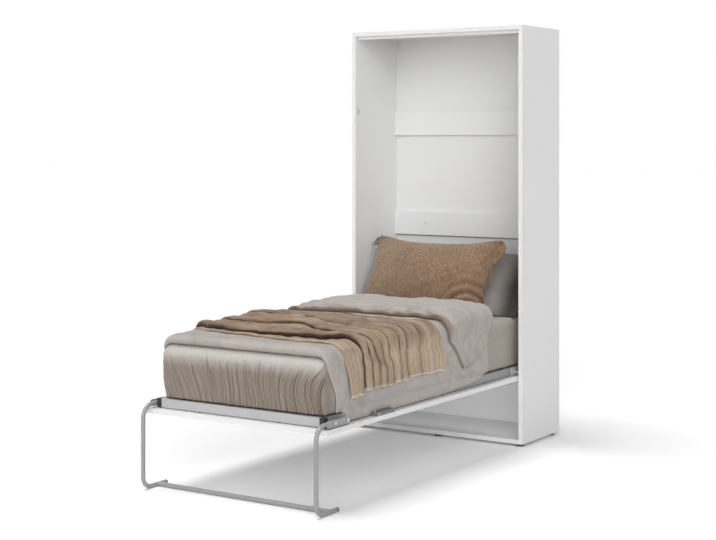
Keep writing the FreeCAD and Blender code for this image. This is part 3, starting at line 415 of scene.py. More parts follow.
white_nylon = moulded_plastic("white_nylon", (0.72, 0.72, 0.70, 1), 0.4, 0.2)
finish(white_nylon, "pivot_bushes", "leg_bushes")
finish(bright_steel, "pivot_plate_left", "pivot_plate_right", "strut_plate_left",
       "strut_plate_right", "pivot_pins", "strut_studs")

# Gas struts
# One in each side gap: a cylinder in black enamel with a polished rod, which takes the bed's
# weight as it turns. They hang from the cabinet and push on the bed's side rails.

black_enamel = moulded_plastic("black_enamel", (0.015, 0.015, 0.016, 1), 0.28, 0.1)
polished_steel = plated_steel("polished_steel", (0.75, 0.75, 0.74, 1), 0.14)
finish(black_enamel, "strut_cylinder_left", "strut_cylinder_right")
finish(polished_steel, "strut_rod_left", "strut_rod_right")

# Door panel
# The white board that closes the cabinet and carries the bed's frame when it is open. Its outer
# face looks down at the floor here.

finish(white_board, "door_panel")

# Steel frame
# Rectangular tube, welded and powder-coated light grey, on nylon spacers over the door panel. The
# side rails are painted a darker grey as painted shade from the bedding that hangs over them. Black
# plastic blocks close the tube ends at the foot.


def powder_coat(name, grey, roughness):
    """Baked powder paint: satin, with the fine orange peel that it cures with."""
    material, wire = start_material(name)
    place = object_place(wire)
    peel = noise(wire, place, 650.0, 2.0)
    cloud = noise(wire, place, 9.0, 3.0)
    surface(wire, {
        "Base Color": (grey, grey, grey, 1), "Roughness": roughness + (cloud - 0.5) * 0.1,
        "Normal": bump(wire, peel, 0.4, 0.0002), "Coat Weight": 0.15, "Coat Roughness": 0.25})
    return material


finish(powder_coat("frame_grey", 0.455, 0.42),
       "foot_rail", "head_rail", "cross_bars", "pivot_brackets")
# The side rails get a darker copy of the same grey: painted shade from the bedding above them
finish(powder_coat("side_rail_painted_shade_grey", 0.27, 0.42), "side_rail_left", "side_rail_right")
finish(black_plastic, "corner_blocks", "frame_spacers", "slat_holders")

# Slats
# Fourteen slats of moulded birch plywood, pushed at both ends into black plastic holders on the
# side rails. The grain runs along each slat, and the plies show on its edges.

SLAT_COUNT = 14
SLAT_WIDE = 0.053
SLAT_EDGE = 0.0022


def waves(wire, place, bands, scale, twist, detail=2.0, detail_scale=1.0):
    return wire.node("ShaderNodeTexWave", {"bands_direction": bands}, {
        "Vector": place, "Scale": scale, "Distortion": twist, "Detail": detail,
        "Detail Scale": detail_scale})


def ramp(wire, factor, stops):
    return wire.node("ShaderNodeValToRGB", {"stops": stops}, {"Fac": factor})


birch_ply, wire = start_material("birch_ply")
place = object_place(wire)
long_grain = noise(wire, stretched(wire, place, (4.0, 130.0, 130.0)), 1.0, 6.0, 0.6, 0.4)
plies = waves(wire, place, "Z", 110.0, 0.4)
birch = ramp(wire, long_grain * 0.8 + plies * 0.2, [
    (0.25, (0.42, 0.27, 0.13, 1)), (0.62, (0.62, 0.45, 0.26, 1)), (0.9, (0.70, 0.54, 0.34, 1))])
surface(wire, {"Base Color": birch, "Roughness": 0.5,
               "Normal": bump(wire, long_grain, 0.25, 0.0004)})
slats_low, slats_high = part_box("slats")
slat_sizes = {"Count": SLAT_COUNT, "Long": slats_high.x - slats_low.x, "Wide": SLAT_WIDE,
              "Thick": slats_high.z - slats_low.z, "Edge": SLAT_EDGE,
              "Pitch": (slats_high.y - slats_low.y - SLAT_WIDE) / (SLAT_COUNT - 1)}
wire, size = start_recipe("slat_set", slat_sizes)
section = wire.node("GeometryNodeFilletCurve", {"mode": "POLY"}, {
    "Curve": wire.node("GeometryNodeCurvePrimitiveQuadrilateral", {}, {
        "Width": size["Wide"], "Height": size["Thick"]}),
    "Count": 3, "Radius": size["Edge"]})
spine = wire.node("GeometryNodeCurvePrimitiveLine", {}, {
    "Start": vector(wire, size["Long"] * -0.5), "End": vector(wire, size["Long"] * 0.5)})
slat = wire.node("GeometryNodeCurveToMesh", {}, {
    "Curve": spine, "Profile Curve": section, "Fill Caps": True})
slat_places = wire.node("GeometryNodeMeshLine", {"mode": "OFFSET"}, {
    "Count": size["Count"], "Offset": vector(wire, y=size["Pitch"]),
    "Start Location": (0.0, slats_low.y + SLAT_WIDE / 2, (slats_low.z + slats_high.z) / 2)})
slats = make_from(wire, repeated(wire, slat_places, slat), "slat_row", slat_sizes, birch_ply)
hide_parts("slats")
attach(slats, "bed")

# Fold-out leg
# Two bent steel tubes with a crossbar on the floor and black end caps, powder-coated a darker
# grey than the frame. They turn on bolts through the side rails as the bed is closed.

finish(powder_coat("leg_grey", 0.29, 0.36),
       "leg_tube_left", "leg_tube_right", "leg_crossbar", "leg_arm_left", "leg_arm_right")
finish(bright_steel, "leg_rivets", "leg_pivot_bolts")
finish(black_plastic, "leg_end_caps")

# Side bolts
# A plastic case on each edge of the door panel with a sliding steel bolt, which locks the closed
# bed into the cabinet's sides.

grey_plastic = moulded_plastic("grey_plastic", (0.16, 0.16, 0.16, 1), 0.45, 0.4)
finish(grey_plastic, "latch_case_left", "latch_case_right")
finish(bright_steel, "latch_bolt_left", "latch_bolt_right")

# Mattress
# A foam block in quilted white ticking with rounded edges. It lies on the slats and is covered by
# the fitted sheet, so little of it shows.

FOAM_IN_SIDE = 0.006
FOAM_IN_FOOT = 0.026
FOAM_IN_HEAD = 0.004
FOAM_CORNER = 0.056
FOAM_EDGE = 0.038


def mend(mesh, change=None):
    """Change a mesh's faces, if there is a change to make, and turn them all outwards."""
    work = bmesh.new()
    work.from_mesh(mesh)
    if change:
        change(work)
    bmesh.ops.recalc_face_normals(work, faces=work.faces)
    work.to_mesh(mesh)
    work.free()


def close_holes(work, above=-math.inf):
    """Fill the openings whose edges lie above a height."""
    bmesh.ops.holes_fill(work, edges=[
        edge for edge in work.edges if edge.is_boundary
        and all(vert.co.z > above for vert in edge.verts)])


def write_cloth(mesh, cloth):
    """Each point's place on the flat cloth, for the weave."""
    corners = np.empty(len(mesh.loops), int)
    mesh.loops.foreach_get("vertex_index", corners)
    layer = mesh.uv_layers.new(name="cloth")
    layer.data.foreach_set("uv", np.asarray(cloth)[corners].ravel())


def write_shade(mesh, shade):
    """Each point's painted shade or highlight in a fold."""
    tones = mesh.attributes.new("fold_shade", "FLOAT", "POINT")
    tones.data.foreach_set("value", np.asarray(shade, np.float32).ravel())


def mesh_piece(name, points, faces, material, cloth=None, shade=None):
    """A smooth mesh from its points and faces."""
    mesh = bpy.data.meshes.new(name)
    mesh.from_pydata(points.reshape(-1, 3).tolist(), [], faces.tolist())
    mend(mesh)
    mesh.shade_smooth()
    if cloth is not None:
        write_cloth(mesh, cloth)
    if shade is not None:
        write_shade(mesh, shade)
    mesh.materials.append(material)
    return stand(name, mesh)


def ring_block(half, foot, head, radius, low, high, round_top, round_low, steps, rings):
    """Points of a rounded block as rings round it, from its lower middle to its upper middle."""
    straight_x, straight_y = half - radius, (head - foot) / 2 - radius
    middle = (head + foot) / 2
    quarter = np.linspace(0, np.pi / 2, steps["corner"], endpoint=False)
    corners = np.array([(1, -1), (1, 1), (-1, 1), (-1, -1)]) * [straight_x, straight_y]
    outline = []
    for turn, side in enumerate(("side", "head", "side", "foot")):
        start_angle = turn * np.pi / 2
        share = np.linspace(0, 1, steps[side], endpoint=False)[:, None]
        start, end = corners[turn], corners[(turn + 1) % 4]
        out = np.array([np.cos(start_angle), np.sin(start_angle)])
        outline.append(np.hstack([start + (end - start) * share, np.tile(out, (len(share), 1))]))
        turns = start_angle + quarter
        outs = np.stack([np.cos(turns), np.sin(turns)], 1)
        outline.append(np.hstack([np.tile(end, (len(turns), 1)), outs]))
    outline = np.vstack(outline)
    # The rings of the flat top and bottom close in on a spine along the block
    spine_half = max(straight_y - straight_x, 0)
    spine = np.clip(outline[:, 1], -spine_half, spine_half)
    points = []
    for height, inset in zip(*rings(low, high, round_low, round_top)):
        reach = radius - inset
        ring = outline[:, :2] + outline[:, 2:] * max(reach, 0.0)
        if reach < 0:
            share = min(-reach / straight_x, 1.0)
            ring = ring + (np.stack([outline[:, 0] * 0, spine], 1) - ring) * share
        points.append(np.column_stack([ring[:, 0], ring[:, 1] + middle,
                                       np.full(len(ring), height)]))
    return np.array(points), outline


def grid_faces(grid):
    """Faces between the neighbours in a grid of point numbers."""
    return np.stack([grid[:-1, :-1], grid[:-1, 1:], grid[1:, 1:], grid[1:, :-1]], -1) \
        .reshape(-1, 4)


def numbers(rows, columns):
    return np.arange(rows * columns).reshape(rows, columns)


def ring_faces(points):
    """Faces round a block that is given as rings."""
    grid = numbers(*points.shape[:2])
    return grid_faces(np.hstack([grid, grid[:, :1]]))


def mattress_rings(low, high, round_low, round_top):
    turns = np.linspace(0, np.pi / 2, 7)
    inner = [0.43, 0.30, 0.15, 0.06]
    heights = [low] * 4 + list(low + round_low - round_low * np.cos(turns)) \
        + list(np.linspace(low + round_low, high - round_top, 5)[1:-1]) \
        + list(high - round_top + round_top * np.sin(turns)) + [high] * 4
    insets = inner + list(round_low - round_low * np.sin(turns)) + [0, 0, 0] \
        + list(round_top - round_top * np.cos(turns)) + inner[::-1]
    return heights, insets


bed_low, bed_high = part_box("mattress")
block, outline = ring_block(
    bed_high.x - FOAM_IN_SIDE, bed_low.y + FOAM_IN_FOOT, bed_high.y - FOAM_IN_HEAD, FOAM_CORNER,
    bed_low.z, bed_high.z - FOAM_IN_HEAD, FOAM_EDGE, FOAM_EDGE,
    {"side": 60, "head": 30, "foot": 30, "corner": 6}, mattress_rings)
mattress_ticking, wire = start_material("mattress_ticking")
place = object_place(wire)
quilt = wire.node("ShaderNodeTexWave", {"wave_type": "RINGS"}, {
    "Vector": place, "Scale": 9.0, "Distortion": 2.0, "Detail": 1.0})
knit = noise(wire, place, 700.0, 2.0)
surface(wire, {"Base Color": (0.637, 0.628, 0.611, 1), "Roughness": 0.9,
               "Normal": bump(wire, quilt * 0.8 + knit * 0.2, 0.6, 0.002)})
mattress = mesh_piece("mattress_block", block, ring_faces(block), mattress_ticking)
mend(mattress.data, close_holes)
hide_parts("mattress")
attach(mattress, "bed")

# Fitted sheet
# Taupe cotton with an elastic hem, pulled over the mattress. The elastic gathers the cloth at
# the foot into a fan of fine pleats, which run down from the smooth upper edge.

LATTICE = np.random.default_rng(7).uniform(-1.0, 1.0, (64, 64, 8))
# Painted shade in cloth turns warmer as it darkens
PAINTED_SHADE_WARMTH = (0.9, 1.12, 1.3)
SHEET_CORNER = 0.046
SHEET_EDGE = 0.040
SHEET_THICK = 0.0016
PLEATS_FROM = -0.50
PLEATS_TO = 0.53
PLEAT_GAP = 0.0165
PLEAT_CRISP = 0.0055


def ripple(across, along, layer=0):
    """Smooth seeded noise from -1 to 1 at each pair of values, one bump per unit."""
    across, along = np.broadcast_arrays(np.asarray(across, float), np.asarray(along, float))
    column, row = np.floor(across).astype(int), np.floor(along).astype(int)
    u, v = across - column, along - row
    u, v = u * u * (3 - 2 * u), v * v * (3 - 2 * v)
    corner = [LATTICE[(column + i) % 64, (row + j) % 64, layer] for i in (0, 1) for j in (0, 1)]
    return ((corner[0] * (1 - u) + corner[2] * u) * (1 - v)
            + (corner[1] * (1 - u) + corner[3] * u) * v)


def ease(value, low, high):
    """0 below low, 1 above high, and a smooth step between them."""
    share = np.clip((np.asarray(value, float) - low) / (high - low), 0, 1)
    return share * share * (3 - 2 * share)


def with_painted_fold_shade(wire, tone, warmth=PAINTED_SHADE_WARMTH):
    """The tone with painted shade in the cloth's folds and painted highlights on its ridges."""
    shade = wire.node("ShaderNodeAttribute", {"attribute_name": "fold_shade"}, out="Fac")
    warm = vector(wire, *(wire.maths("POWER", shade, power) for power in warmth))
    return wire.node("ShaderNodeVectorMath", {"operation": "MULTIPLY"}, {0: tone, 1: warm})


def woven_cotton(name, colour, deeper_tone, weave, strength, folded=None):
    """Plain-woven cotton seen from a step away: fine threads, soft slubs and a faint sheen."""
    material, wire = start_material(name)
    flat = wire.node("ShaderNodeUVMap", {"uv_map": "cloth"})
    place = object_place(wire)
    warp, weft = (waves(wire, flat, way, weave, 1.2, 1.0) for way in "XY")
    slub = noise(wire, stretched(wire, flat, (60.0, 420.0, 1.0)), 1.0, 4.0, 0.6)
    cloud = noise(wire, place, 26.0, 5.0, 0.62)
    tone = mixed(wire, cloud * 0.5 + slub * 0.5, deeper_tone, colour)
    # Painted shade and highlights, read from the piece's fold_shade attribute
    if folded:
        tone = with_painted_fold_shade(wire, tone, folded)
    rumple = noise(wire, place, 16.0, 4.0, 0.55, 2.2)
    crinkle = noise(wire, place, 8.0, 4.0, 0.5, 0.8, "RIDGED_MULTIFRACTAL")
    slack = bump(wire, rumple + crinkle * 0.16, 0.75, 0.011)
    threads = (warp + weft) * 0.25 + slub * 0.6 + cloud * 0.5
    surface(wire, {
        "Base Color": tone, "Roughness": 0.88, "Specular IOR Level": 0.2, "Sheen Weight": 0.12,
        "Sheen Roughness": 0.5, "Normal": bump(wire, threads, strength, 0.0012, Normal=slack)})
    return material


def thicken(piece, name, thickness):
    """Give a cloth its thickness, inwards from its outer face."""
    skin = piece.modifiers.new(name, "SOLIDIFY")
    skin.thickness = thickness
    skin.offset = -1.0


def bell(offset, width):
    return np.exp(-(offset / width) ** 2)


def sheet_rings(low, high, round_low, round_top):
    turns = np.linspace(0, np.pi / 2, 14)[1:]
    rise = list(np.linspace(low, high - round_top, 36))
    heights = rise + list(high - round_top + round_top * np.sin(turns)) + [high] * 8
    insets = [0.0] * len(rise) + list(round_top - round_top * np.cos(turns)) \
        + [0.05, 0.075, 0.11, 0.16, 0.22, 0.28, 0.34, 0.40]
    return heights, insets


sheet_low, sheet_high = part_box("fitted_sheet")
skin, outline = ring_block(
    sheet_high.x, sheet_low.y, sheet_high.y, SHEET_CORNER, sheet_low.z, sheet_high.z, SHEET_EDGE,
    0.0, {"side": 84, "head": 20, "foot": 420, "corner": 26}, sheet_rings)
# How far each point lies from the hem, and how much it belongs to the foot's face
rise = np.clip((skin[:, :, 2] - sheet_low.z) / (sheet_high.z - sheet_low.z), 0, 1)
foot_share = ease(-outline[:, 3], 0.15, 0.9)[None, :]
side_share = ease(np.abs(outline[:, 2]), 0.3, 0.9)[None, :]
down = 1 - rise
# Distance round the bed from the middle of its foot, so that pleats can turn its corners
strides = np.linalg.norm(np.diff(skin[0, :, :2], axis=0, append=skin[0, :1, :2]), axis=1)
walked = np.concatenate([[0], np.cumsum(strides)[:-1]])
middle = walked[np.argmin(np.abs(skin[0, :, 0]) + 9 * (outline[:, 3] > -0.9))]
around = (walked - middle + strides.sum() / 2) % strides.sum() - strides.sum() / 2
around = np.broadcast_to(around[None, :], skin.shape[:2])
gathered = 1 - ease(np.abs(around), 0.455, 0.53)

pleat_rng = np.random.default_rng(21)
pleat = np.zeros_like(around)
for start in np.arange(PLEATS_FROM, PLEATS_TO, PLEAT_GAP):
    start = start + pleat_rng.uniform(-0.004, 0.004)
    end = start * 0.82 + 0.012 * math.sin(start * 14) + pleat_rng.uniform(-0.004, 0.004)
    bow = -0.085 * max(start - 0.06, 0) ** 0.7 + pleat_rng.uniform(-0.005, 0.005)
    width = pleat_rng.uniform(0.0034, 0.0058)
    top = pleat_rng.uniform(0.04, 0.32) + 0.08 * (start < -0.2)
    height = pleat_rng.uniform(0.0030, 0.0095) * (1.0 + 0.25 * (abs(start) > 0.40))
    path = start + (end - start) * down + bow * np.sin(np.pi * np.clip(down, 0, 1))
    offset = (around - path) / width
    profile = bell(offset, 1) - 0.8 * bell(offset - 1.5, 0.8)
    pleat += height * profile * ease(down, top, top + 0.22)
billow = 0.0035 * ripple(around * 9 + 3, rise * 3, 1) + 0.002 * ripple(around * 26, rise * 5, 2)
crown = 0.014 * ease(down, 0.0, 0.22) - 0.026 * ease(down, 0.18, 1.0)
side_ripple = 0.0015 * ripple(skin[:, :, 1] * 11, rise * 3 + 9, 3)
on_wall = ease(sheet_high.z - skin[:, :, 2], 0.0, 0.02)
push = on_wall * (gathered * (pleat + foot_share * crown) + side_share * side_ripple
                  + foot_share * billow * ease(down, 0.1, 0.4))
# Painted light: pleat ridges lighter and valleys darker, and the gathered foot face lighter near
# its top and darker lower down
crisp = np.clip(pleat / PLEAT_CRISP, -1, 1) * gathered
sheet_shade = (1 + 0.11 * np.maximum(crisp, 0) - 0.36 * np.maximum(-crisp, 0)) \
    * (1 + gathered * (0.36 * on_wall - 0.65 * ease(down, 0.04, 0.42)))
skin[:, :, :2] += outline[None, :, 2:] * push[:, :, None]
run = np.concatenate([[0], np.cumsum(np.linalg.norm(np.diff(skin[0, :, :2], axis=0), axis=1))])
flat_cloth = np.stack([np.broadcast_to(run[None, :], skin.shape[:2]), skin[:, :, 2]], 2)
sheet_cloth = woven_cotton("sheet_cloth", (0.409, 0.370, 0.332, 1), (0.344, 0.309, 0.275, 1),
                           700.0, 0.35, folded=PAINTED_SHADE_WARMTH)
fitted_sheet = mesh_piece("fitted_sheet_skin", skin, ring_faces(skin), sheet_cloth,
                          flat_cloth.reshape(-1, 2), sheet_shade)
mend(fitted_sheet.data, lambda work: close_holes(work, sheet_high.z - 0.01))
thicken(fitted_sheet, "cloth_thickness", SHEET_THICK)
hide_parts("fitted_sheet")
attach(fitted_sheet, "bed")

# Duvet
# A down-filled duvet in a grey-beige cotton cover, laid over the fitted sheet so that its sides
# hang to the bed's frame. Its rim is rolled, and its top end is folded back on itself.

SHEET_HALF = sheet_high.x
SHEET_TOP = sheet_high.z
SHOULDER = 0.042
SIDE_START = SHEET_HALF - SHOULDER + SHOULDER * math.pi / 2
HEM_Z = 0.3815
SKIRT_OUT = 0.4637
OFF_SHEET = 0.0006
OFF_DUVET = 0.0008


def reach_to(height):
    """How far across from the bed's middle a cover runs until it hangs to a height."""
    return SIDE_START + SHEET_TOP - SHOULDER - height


DUVET_REACH = reach_to(HEM_Z)


def over_bed(run):
    """Place on the sheet and outward direction, by the run across from the bed's middle."""
    side = np.sign(run)
    run = np.abs(run)
    flat = SHEET_HALF - SHOULDER
    turn = np.clip((run - flat) / SHOULDER, 0, np.pi / 2)
    x = np.where(run < flat, run, flat + SHOULDER * np.sin(turn))
    z = SHEET_TOP - SHOULDER * (1 - np.cos(turn)) - np.maximum(run - SIDE_START, 0)
    return x * side, z, np.sin(turn) * side, np.cos(turn)


def hanging(run, start=0.40, end=0.52):
    """0 over the middle of the bed, and 1 where a cover hangs at its sides."""
    return ease(np.abs(run), start, end)


def lay(run, along, outward, lift=0.0):
    """Points that stand some way off the sheet."""
    x, z, out_x, out_z = over_bed(run)
    return np.stack([x + out_x * outward, along + 0 * x, z + out_z * outward + lift], -1)


def spaced(low, high, count, edge):
    """Evenly spaced places, closer together within an edge at both ends."""
    close = edge * (1 - np.cos(np.linspace(0, np.pi / 2, 7)))
    return np.concatenate([low + close[:-1], np.linspace(low + edge, high - edge, count),
                           (high - close[:-1])[::-1]])


def shell_faces(rows, columns):
    """Faces of a body between an outer and an inner grid that share their border."""
    outer = numbers(rows, columns)
    inner = outer.copy()
    inner[1:-1, 1:-1] = rows * columns + numbers(rows - 2, columns - 2)
    return np.stack([grid_faces(outer), grid_faces(inner)[:, [0, 3, 2, 1]]], 1).reshape(-1, 4)


def shell_rows(outer, inner):
    """One row for each point of such a body, as its faces count them."""
    return np.vstack([outer.reshape(-1, outer.shape[-1]),
                      inner[1:-1, 1:-1].reshape(-1, inner.shape[-1])])


def quilt_body(name, runs, steps, place_at, roll, tone_at):
    """A padded body between two skins; place_at takes how full it is, tone_at gives its shade."""
    run, step = np.meshgrid(runs, steps, indexing="ij")
    to_rim = np.minimum(np.minimum(run - runs[0], runs[-1] - run) / roll,
                        np.minimum(step - steps[0], steps[-1] - step) / roll)
    full = np.sqrt(np.clip(1 - (1 - np.clip(to_rim, 0, 1)) ** 2, 0, 1))
    points = shell_rows(place_at(run, step, 0.5 + 0.5 * full),
                        place_at(run, step, 0.5 - 0.5 * full))
    flat = np.stack([step, run], 2)
    tone = tone_at(run, step)[:, :, None]
    return mesh_piece(name, points, shell_faces(len(runs), len(steps)), duvet_cloth,
                      shell_rows(flat, flat), shell_rows(tone, tone))


def read_off(line, at):
    """The value at a place on a line that is given by its corners."""
    return np.interp(at, *zip(*line))


def wrinkle(across, along, layer, width):
    """1 along thin winding lines, where the seeded noise crosses zero, and 0 elsewhere."""
    return bell(ripple(across, along, layer), width)


def cover_creases(run, along):
    """Creases of the duvet's cover, where the down has shifted."""
    lines = wrinkle(run * 8 + along * 7, along * 14 - run * 6, 3, 0.15) \
        + 0.8 * wrinkle(run * 15 - along * 11, along * 9 + 3, 4, 0.13)
    return np.clip(lines, 0, 1) * (0.55 + 0.45 * ripple(run * 4, along * 4, 0))


DUVET_FOOT = -1.000
DUVET_HEAD = 0.572
DUVET_TOPS = [(-1.000, 0.699), (-0.96, 0.702), (-0.90, 0.700), (-0.76, 0.707), (-0.37, 0.724),
              (-0.10, 0.728), (0.00, 0.718), (0.10, 0.722), (0.30, 0.726), (0.58, 0.716)]


def duvet_rise(run, along):
    """How far the duvet's upper skin stands off the sheet, with its swells and soft folds."""
    out_z = over_bed(run)[3]
    top = read_off(DUVET_TOPS, along) - SHEET_TOP
    pressed = ease(along, -0.86, -0.80) * ease(-along, -0.01, 0.04) * hanging(run, 0.42, 0.46)
    thin = 0.0100 - 0.0050 * pressed
    hang = hanging(run)
    crown = 0.006 * np.cos(np.clip(run / 0.45, -1, 1) * np.pi / 2)
    folds = 0.0016 * ripple(along * 8 + 5, np.abs(run) * 2, 5) \
        + 0.0009 * ripple(along * 22, np.abs(run) * 3, 6)
    swell = 0.0040 * ripple(run * 7, along * 6, 7) + 0.0022 * ripple(run * 17 + 4, along * 13, 1)
    crease = 0.0015 * ripple(run * 34 + along * 12, along * 22 - run * 9, 2)
    return thin + (top - thin + crown - 0.004) * out_z ** 1.3 + folds * hang \
        + (swell + crease) * (1 - hang) - 0.0016 * cover_creases(run, along) * (1 - pressed)


CLEAR_TOPS = [(-0.805, 0.762), (-0.795, 0.744), (-0.755, 0.744), (-0.745, 0.762),
              (-0.655, 0.762), (-0.645, 0.747), (-0.510, 0.747), (-0.500, 0.762),
              (-0.095, 0.762), (-0.085, 0.747), (0.054, 0.747), (0.064, 0.762)]
CLEAR_SOFT = 0.003


def clear_rails(points):
    """Press the covers down where the cabinet's cross rails meet them as the bed closes."""
    top = read_off(CLEAR_TOPS, points[..., 1])
    points[..., 2] = top - CLEAR_SOFT * np.logaddexp(0, (top - points[..., 2]) / CLEAR_SOFT)


# Its end under the fold steps back towards the foot where it passes over the bed's edge
DUVET_BACKS = [(0.00, 0.572), (0.30, 0.560), (0.37, 0.525), (0.41, 0.475), (0.45, 0.448),
               (0.52, 0.446), (0.70, 0.450)]
# The side hem hangs outside the rail, but stops above it near the foot and under the fold
DUVET_HEMS = [(-0.872, 0.4115), (-0.852, 0.3700), (-0.680, 0.3690), (-0.664, 0.3820),
              (-0.506, 0.3820), (-0.490, 0.3690), (-0.05, 0.3690), (0.233, 0.384), (0.36, 0.401),
              (0.45, 0.416), (0.572, 0.500)]


def place_duvet(run, along, full):
    # The front edge slants back as it falls, so the sheet's corner shows beside it
    along = along + 0.085 * hanging(run, 0.40, 0.64) * ease(-along, 0.76, 1.0)
    back = read_off(DUVET_BACKS, np.abs(run))
    along = along - (DUVET_HEAD - back) * ease(along, 0.20, DUVET_HEAD)
    outward = OFF_SHEET + (duvet_rise(run, along) - OFF_SHEET) * full
    lift = (read_off(DUVET_HEMS, along) - HEM_Z) * hanging(run, 0.50, DUVET_REACH)
    points = lay(run, along, outward, lift)
    out = ease(0.436 - points[..., 2], 0.0, 0.024) * ease(along, -0.874, -0.850) \
        * (1 - ease(along, 0.33, 0.42))
    skirt = np.sign(run) * (SKIRT_OUT + 0.0022 * full)
    points[..., 0] += (skirt - points[..., 0]) * out
    return points


FLAP_RISE = 0.042
FLAP_REACH = reach_to(0.466)
FOLD_LONG = 0.60
FOLD_FRONTS = [(0.00, -0.006), (0.20, -0.006), (0.36, -0.006), (0.42, 0.000), (0.46, 0.030),
               (0.50, 0.085), (0.55, 0.130), (0.62, 0.180), (0.70, 0.200)]


def fold_front(run):
    """Front edge of the end that is folded back, further forward on the left side."""
    return read_off(FOLD_FRONTS, np.abs(run)) + 0.006 * ripple(run * 9, 3.5, 4) \
        - 0.030 * ease(-run, 0.26, 0.42)


def duvet_tone(run, along):
    """Painted shade in front of the fold, below its flaps and in creases; sides painted lighter."""
    front = fold_front(run)
    hem = FLAP_REACH - FLAP_RISE * np.clip((along - front) / (DUVET_HEAD - front), 0, 1)
    ahead = bell(front - along, 0.013) * (np.abs(run) < FLAP_REACH)
    below = bell(np.abs(run) - hem, 0.009) * (along > front) * (along < 0.45)
    level = 0.98 + 0.07 * hanging(run, 0.42, 0.52)
    return level * (1 - 0.34 * np.clip(ahead + below, 0, 1)) \
        * (1 - 0.15 * cover_creases(run, along))


duvet_cloth = woven_cotton("duvet_cloth", (0.482, 0.445, 0.417, 1), (0.408, 0.375, 0.348, 1),
                           650.0, 0.4, folded=PAINTED_SHADE_WARMTH)
duvet = quilt_body("duvet_body", spaced(-DUVET_REACH, DUVET_REACH, 150, 0.012),
                   spaced(DUVET_FOOT, DUVET_HEAD, 165, 0.026), place_duvet, 0.024, duvet_tone)

# Folded-back end of the duvet
# The duvet's top end lies double over its last half metre. The loose end is plump on top and
# hangs at both sides as a flap with a stitched hem and a turned-out corner.

FOLD_THIN = 0.0085
SEAM_IN = 0.013
FOLD_BACKS = [(0.00, 0.572), (0.30, 0.562), (0.37, 0.526), (0.41, 0.474), (0.45, 0.440),
              (0.50, 0.428), (0.58, 0.432), (0.62, 0.436), (0.70, 0.438)]


def fold_along(run, share):
    front = fold_front(run)
    return front + (read_off(FOLD_BACKS, np.abs(run)) - front) * share


def place_fold(run, step, full):
    share = step / FOLD_LONG
    along = fold_along(run, share)
    out_z = over_bed(run)[3]
    hang = hanging(run, 0.40, 0.50)
    plump = 0.025 + 0.010 * ease(along, 0.01, 0.10)
    pull = 0.0060 * ripple(run * 10 + along * 5, along * 9, 3) \
        + 0.0060 * ripple(run * 20 + along * 20, along * 9 - run * 3, 6) \
        * (1 - ease(along, 0.10, 0.34)) \
        + 0.0040 * ripple(run * 26 + along * 34, along * 7 - run * 6, 4) \
        * (1 - ease(along, 0.06, 0.26)) + 0.0014 * ripple(run * 46, along * 30, 1) \
        - 0.0026 * cover_creases(run + 1.3, along)
    droop = 0.0022 * ripple(along * 14 + 2, np.abs(run) * 5, 2)
    thick = FOLD_THIN + (plump - FOLD_THIN) * out_z ** 1.2 + pull * (1 - hang) + droop * hang
    base = duvet_rise(run, along) + OFF_DUVET
    hem = FLAP_RISE * np.clip(share, 0, 1) * hanging(run, 0.52, FLAP_REACH)
    corner = 0.010 * ease(share, 0.80, 1.0) * hanging(run, FLAP_REACH - 0.05, FLAP_REACH)
    points = lay(run, along, base + thick * full + corner * hang * 0.2, hem)
    clear_rails(points)
    return points


def fold_tone(run, step):
    """Stitched seam a finger's width inside the flaps' edges; painted shade and lighter sides."""
    from_hem = FLAP_REACH - np.abs(run)
    from_back = (FOLD_LONG - step) * 0.75
    seam = bell(from_hem - SEAM_IN, 0.0022) + bell(from_back - SEAM_IN, 0.0026) \
        * hanging(run, 0.44, 0.47)
    level = 0.97 + 0.05 * hanging(run, 0.42, 0.52)
    along = fold_along(run, step / FOLD_LONG)
    # Painted shade where the front roll turns down, and in diagonal wrinkles behind it
    roll = 0.50 * bell(step, 0.012) + 0.13 * bell(step - 0.030, 0.022)
    strokes = np.clip(ripple(run * 30 + step * 34, step * 12 - run * 5, 2), 0, 1) \
        * bell(step - 0.035, 0.040) * (1 - hanging(run))
    creased = (1 - 0.20 * cover_creases(run + 1.3, along)) * (1 - 0.42 * strokes)
    return level * (1 - roll) * (1 - 0.22 * np.clip(seam, 0, 1)) * creased


duvet_fold = quilt_body("duvet_fold", spaced(-FLAP_REACH, FLAP_REACH, 150, 0.010),
                        spaced(0.0, FOLD_LONG, 78, 0.018), place_fold, 0.018, fold_tone)
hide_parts("duvet")
for part in (duvet, duvet_fold):
    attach(part, "bed")

# Throw
# A ribbed throw of tan cotton gauze, pushed together into long folds across the bed. It hangs
# over both sides, where the folds become deep flutes, and its hems are whipped in pale thread.

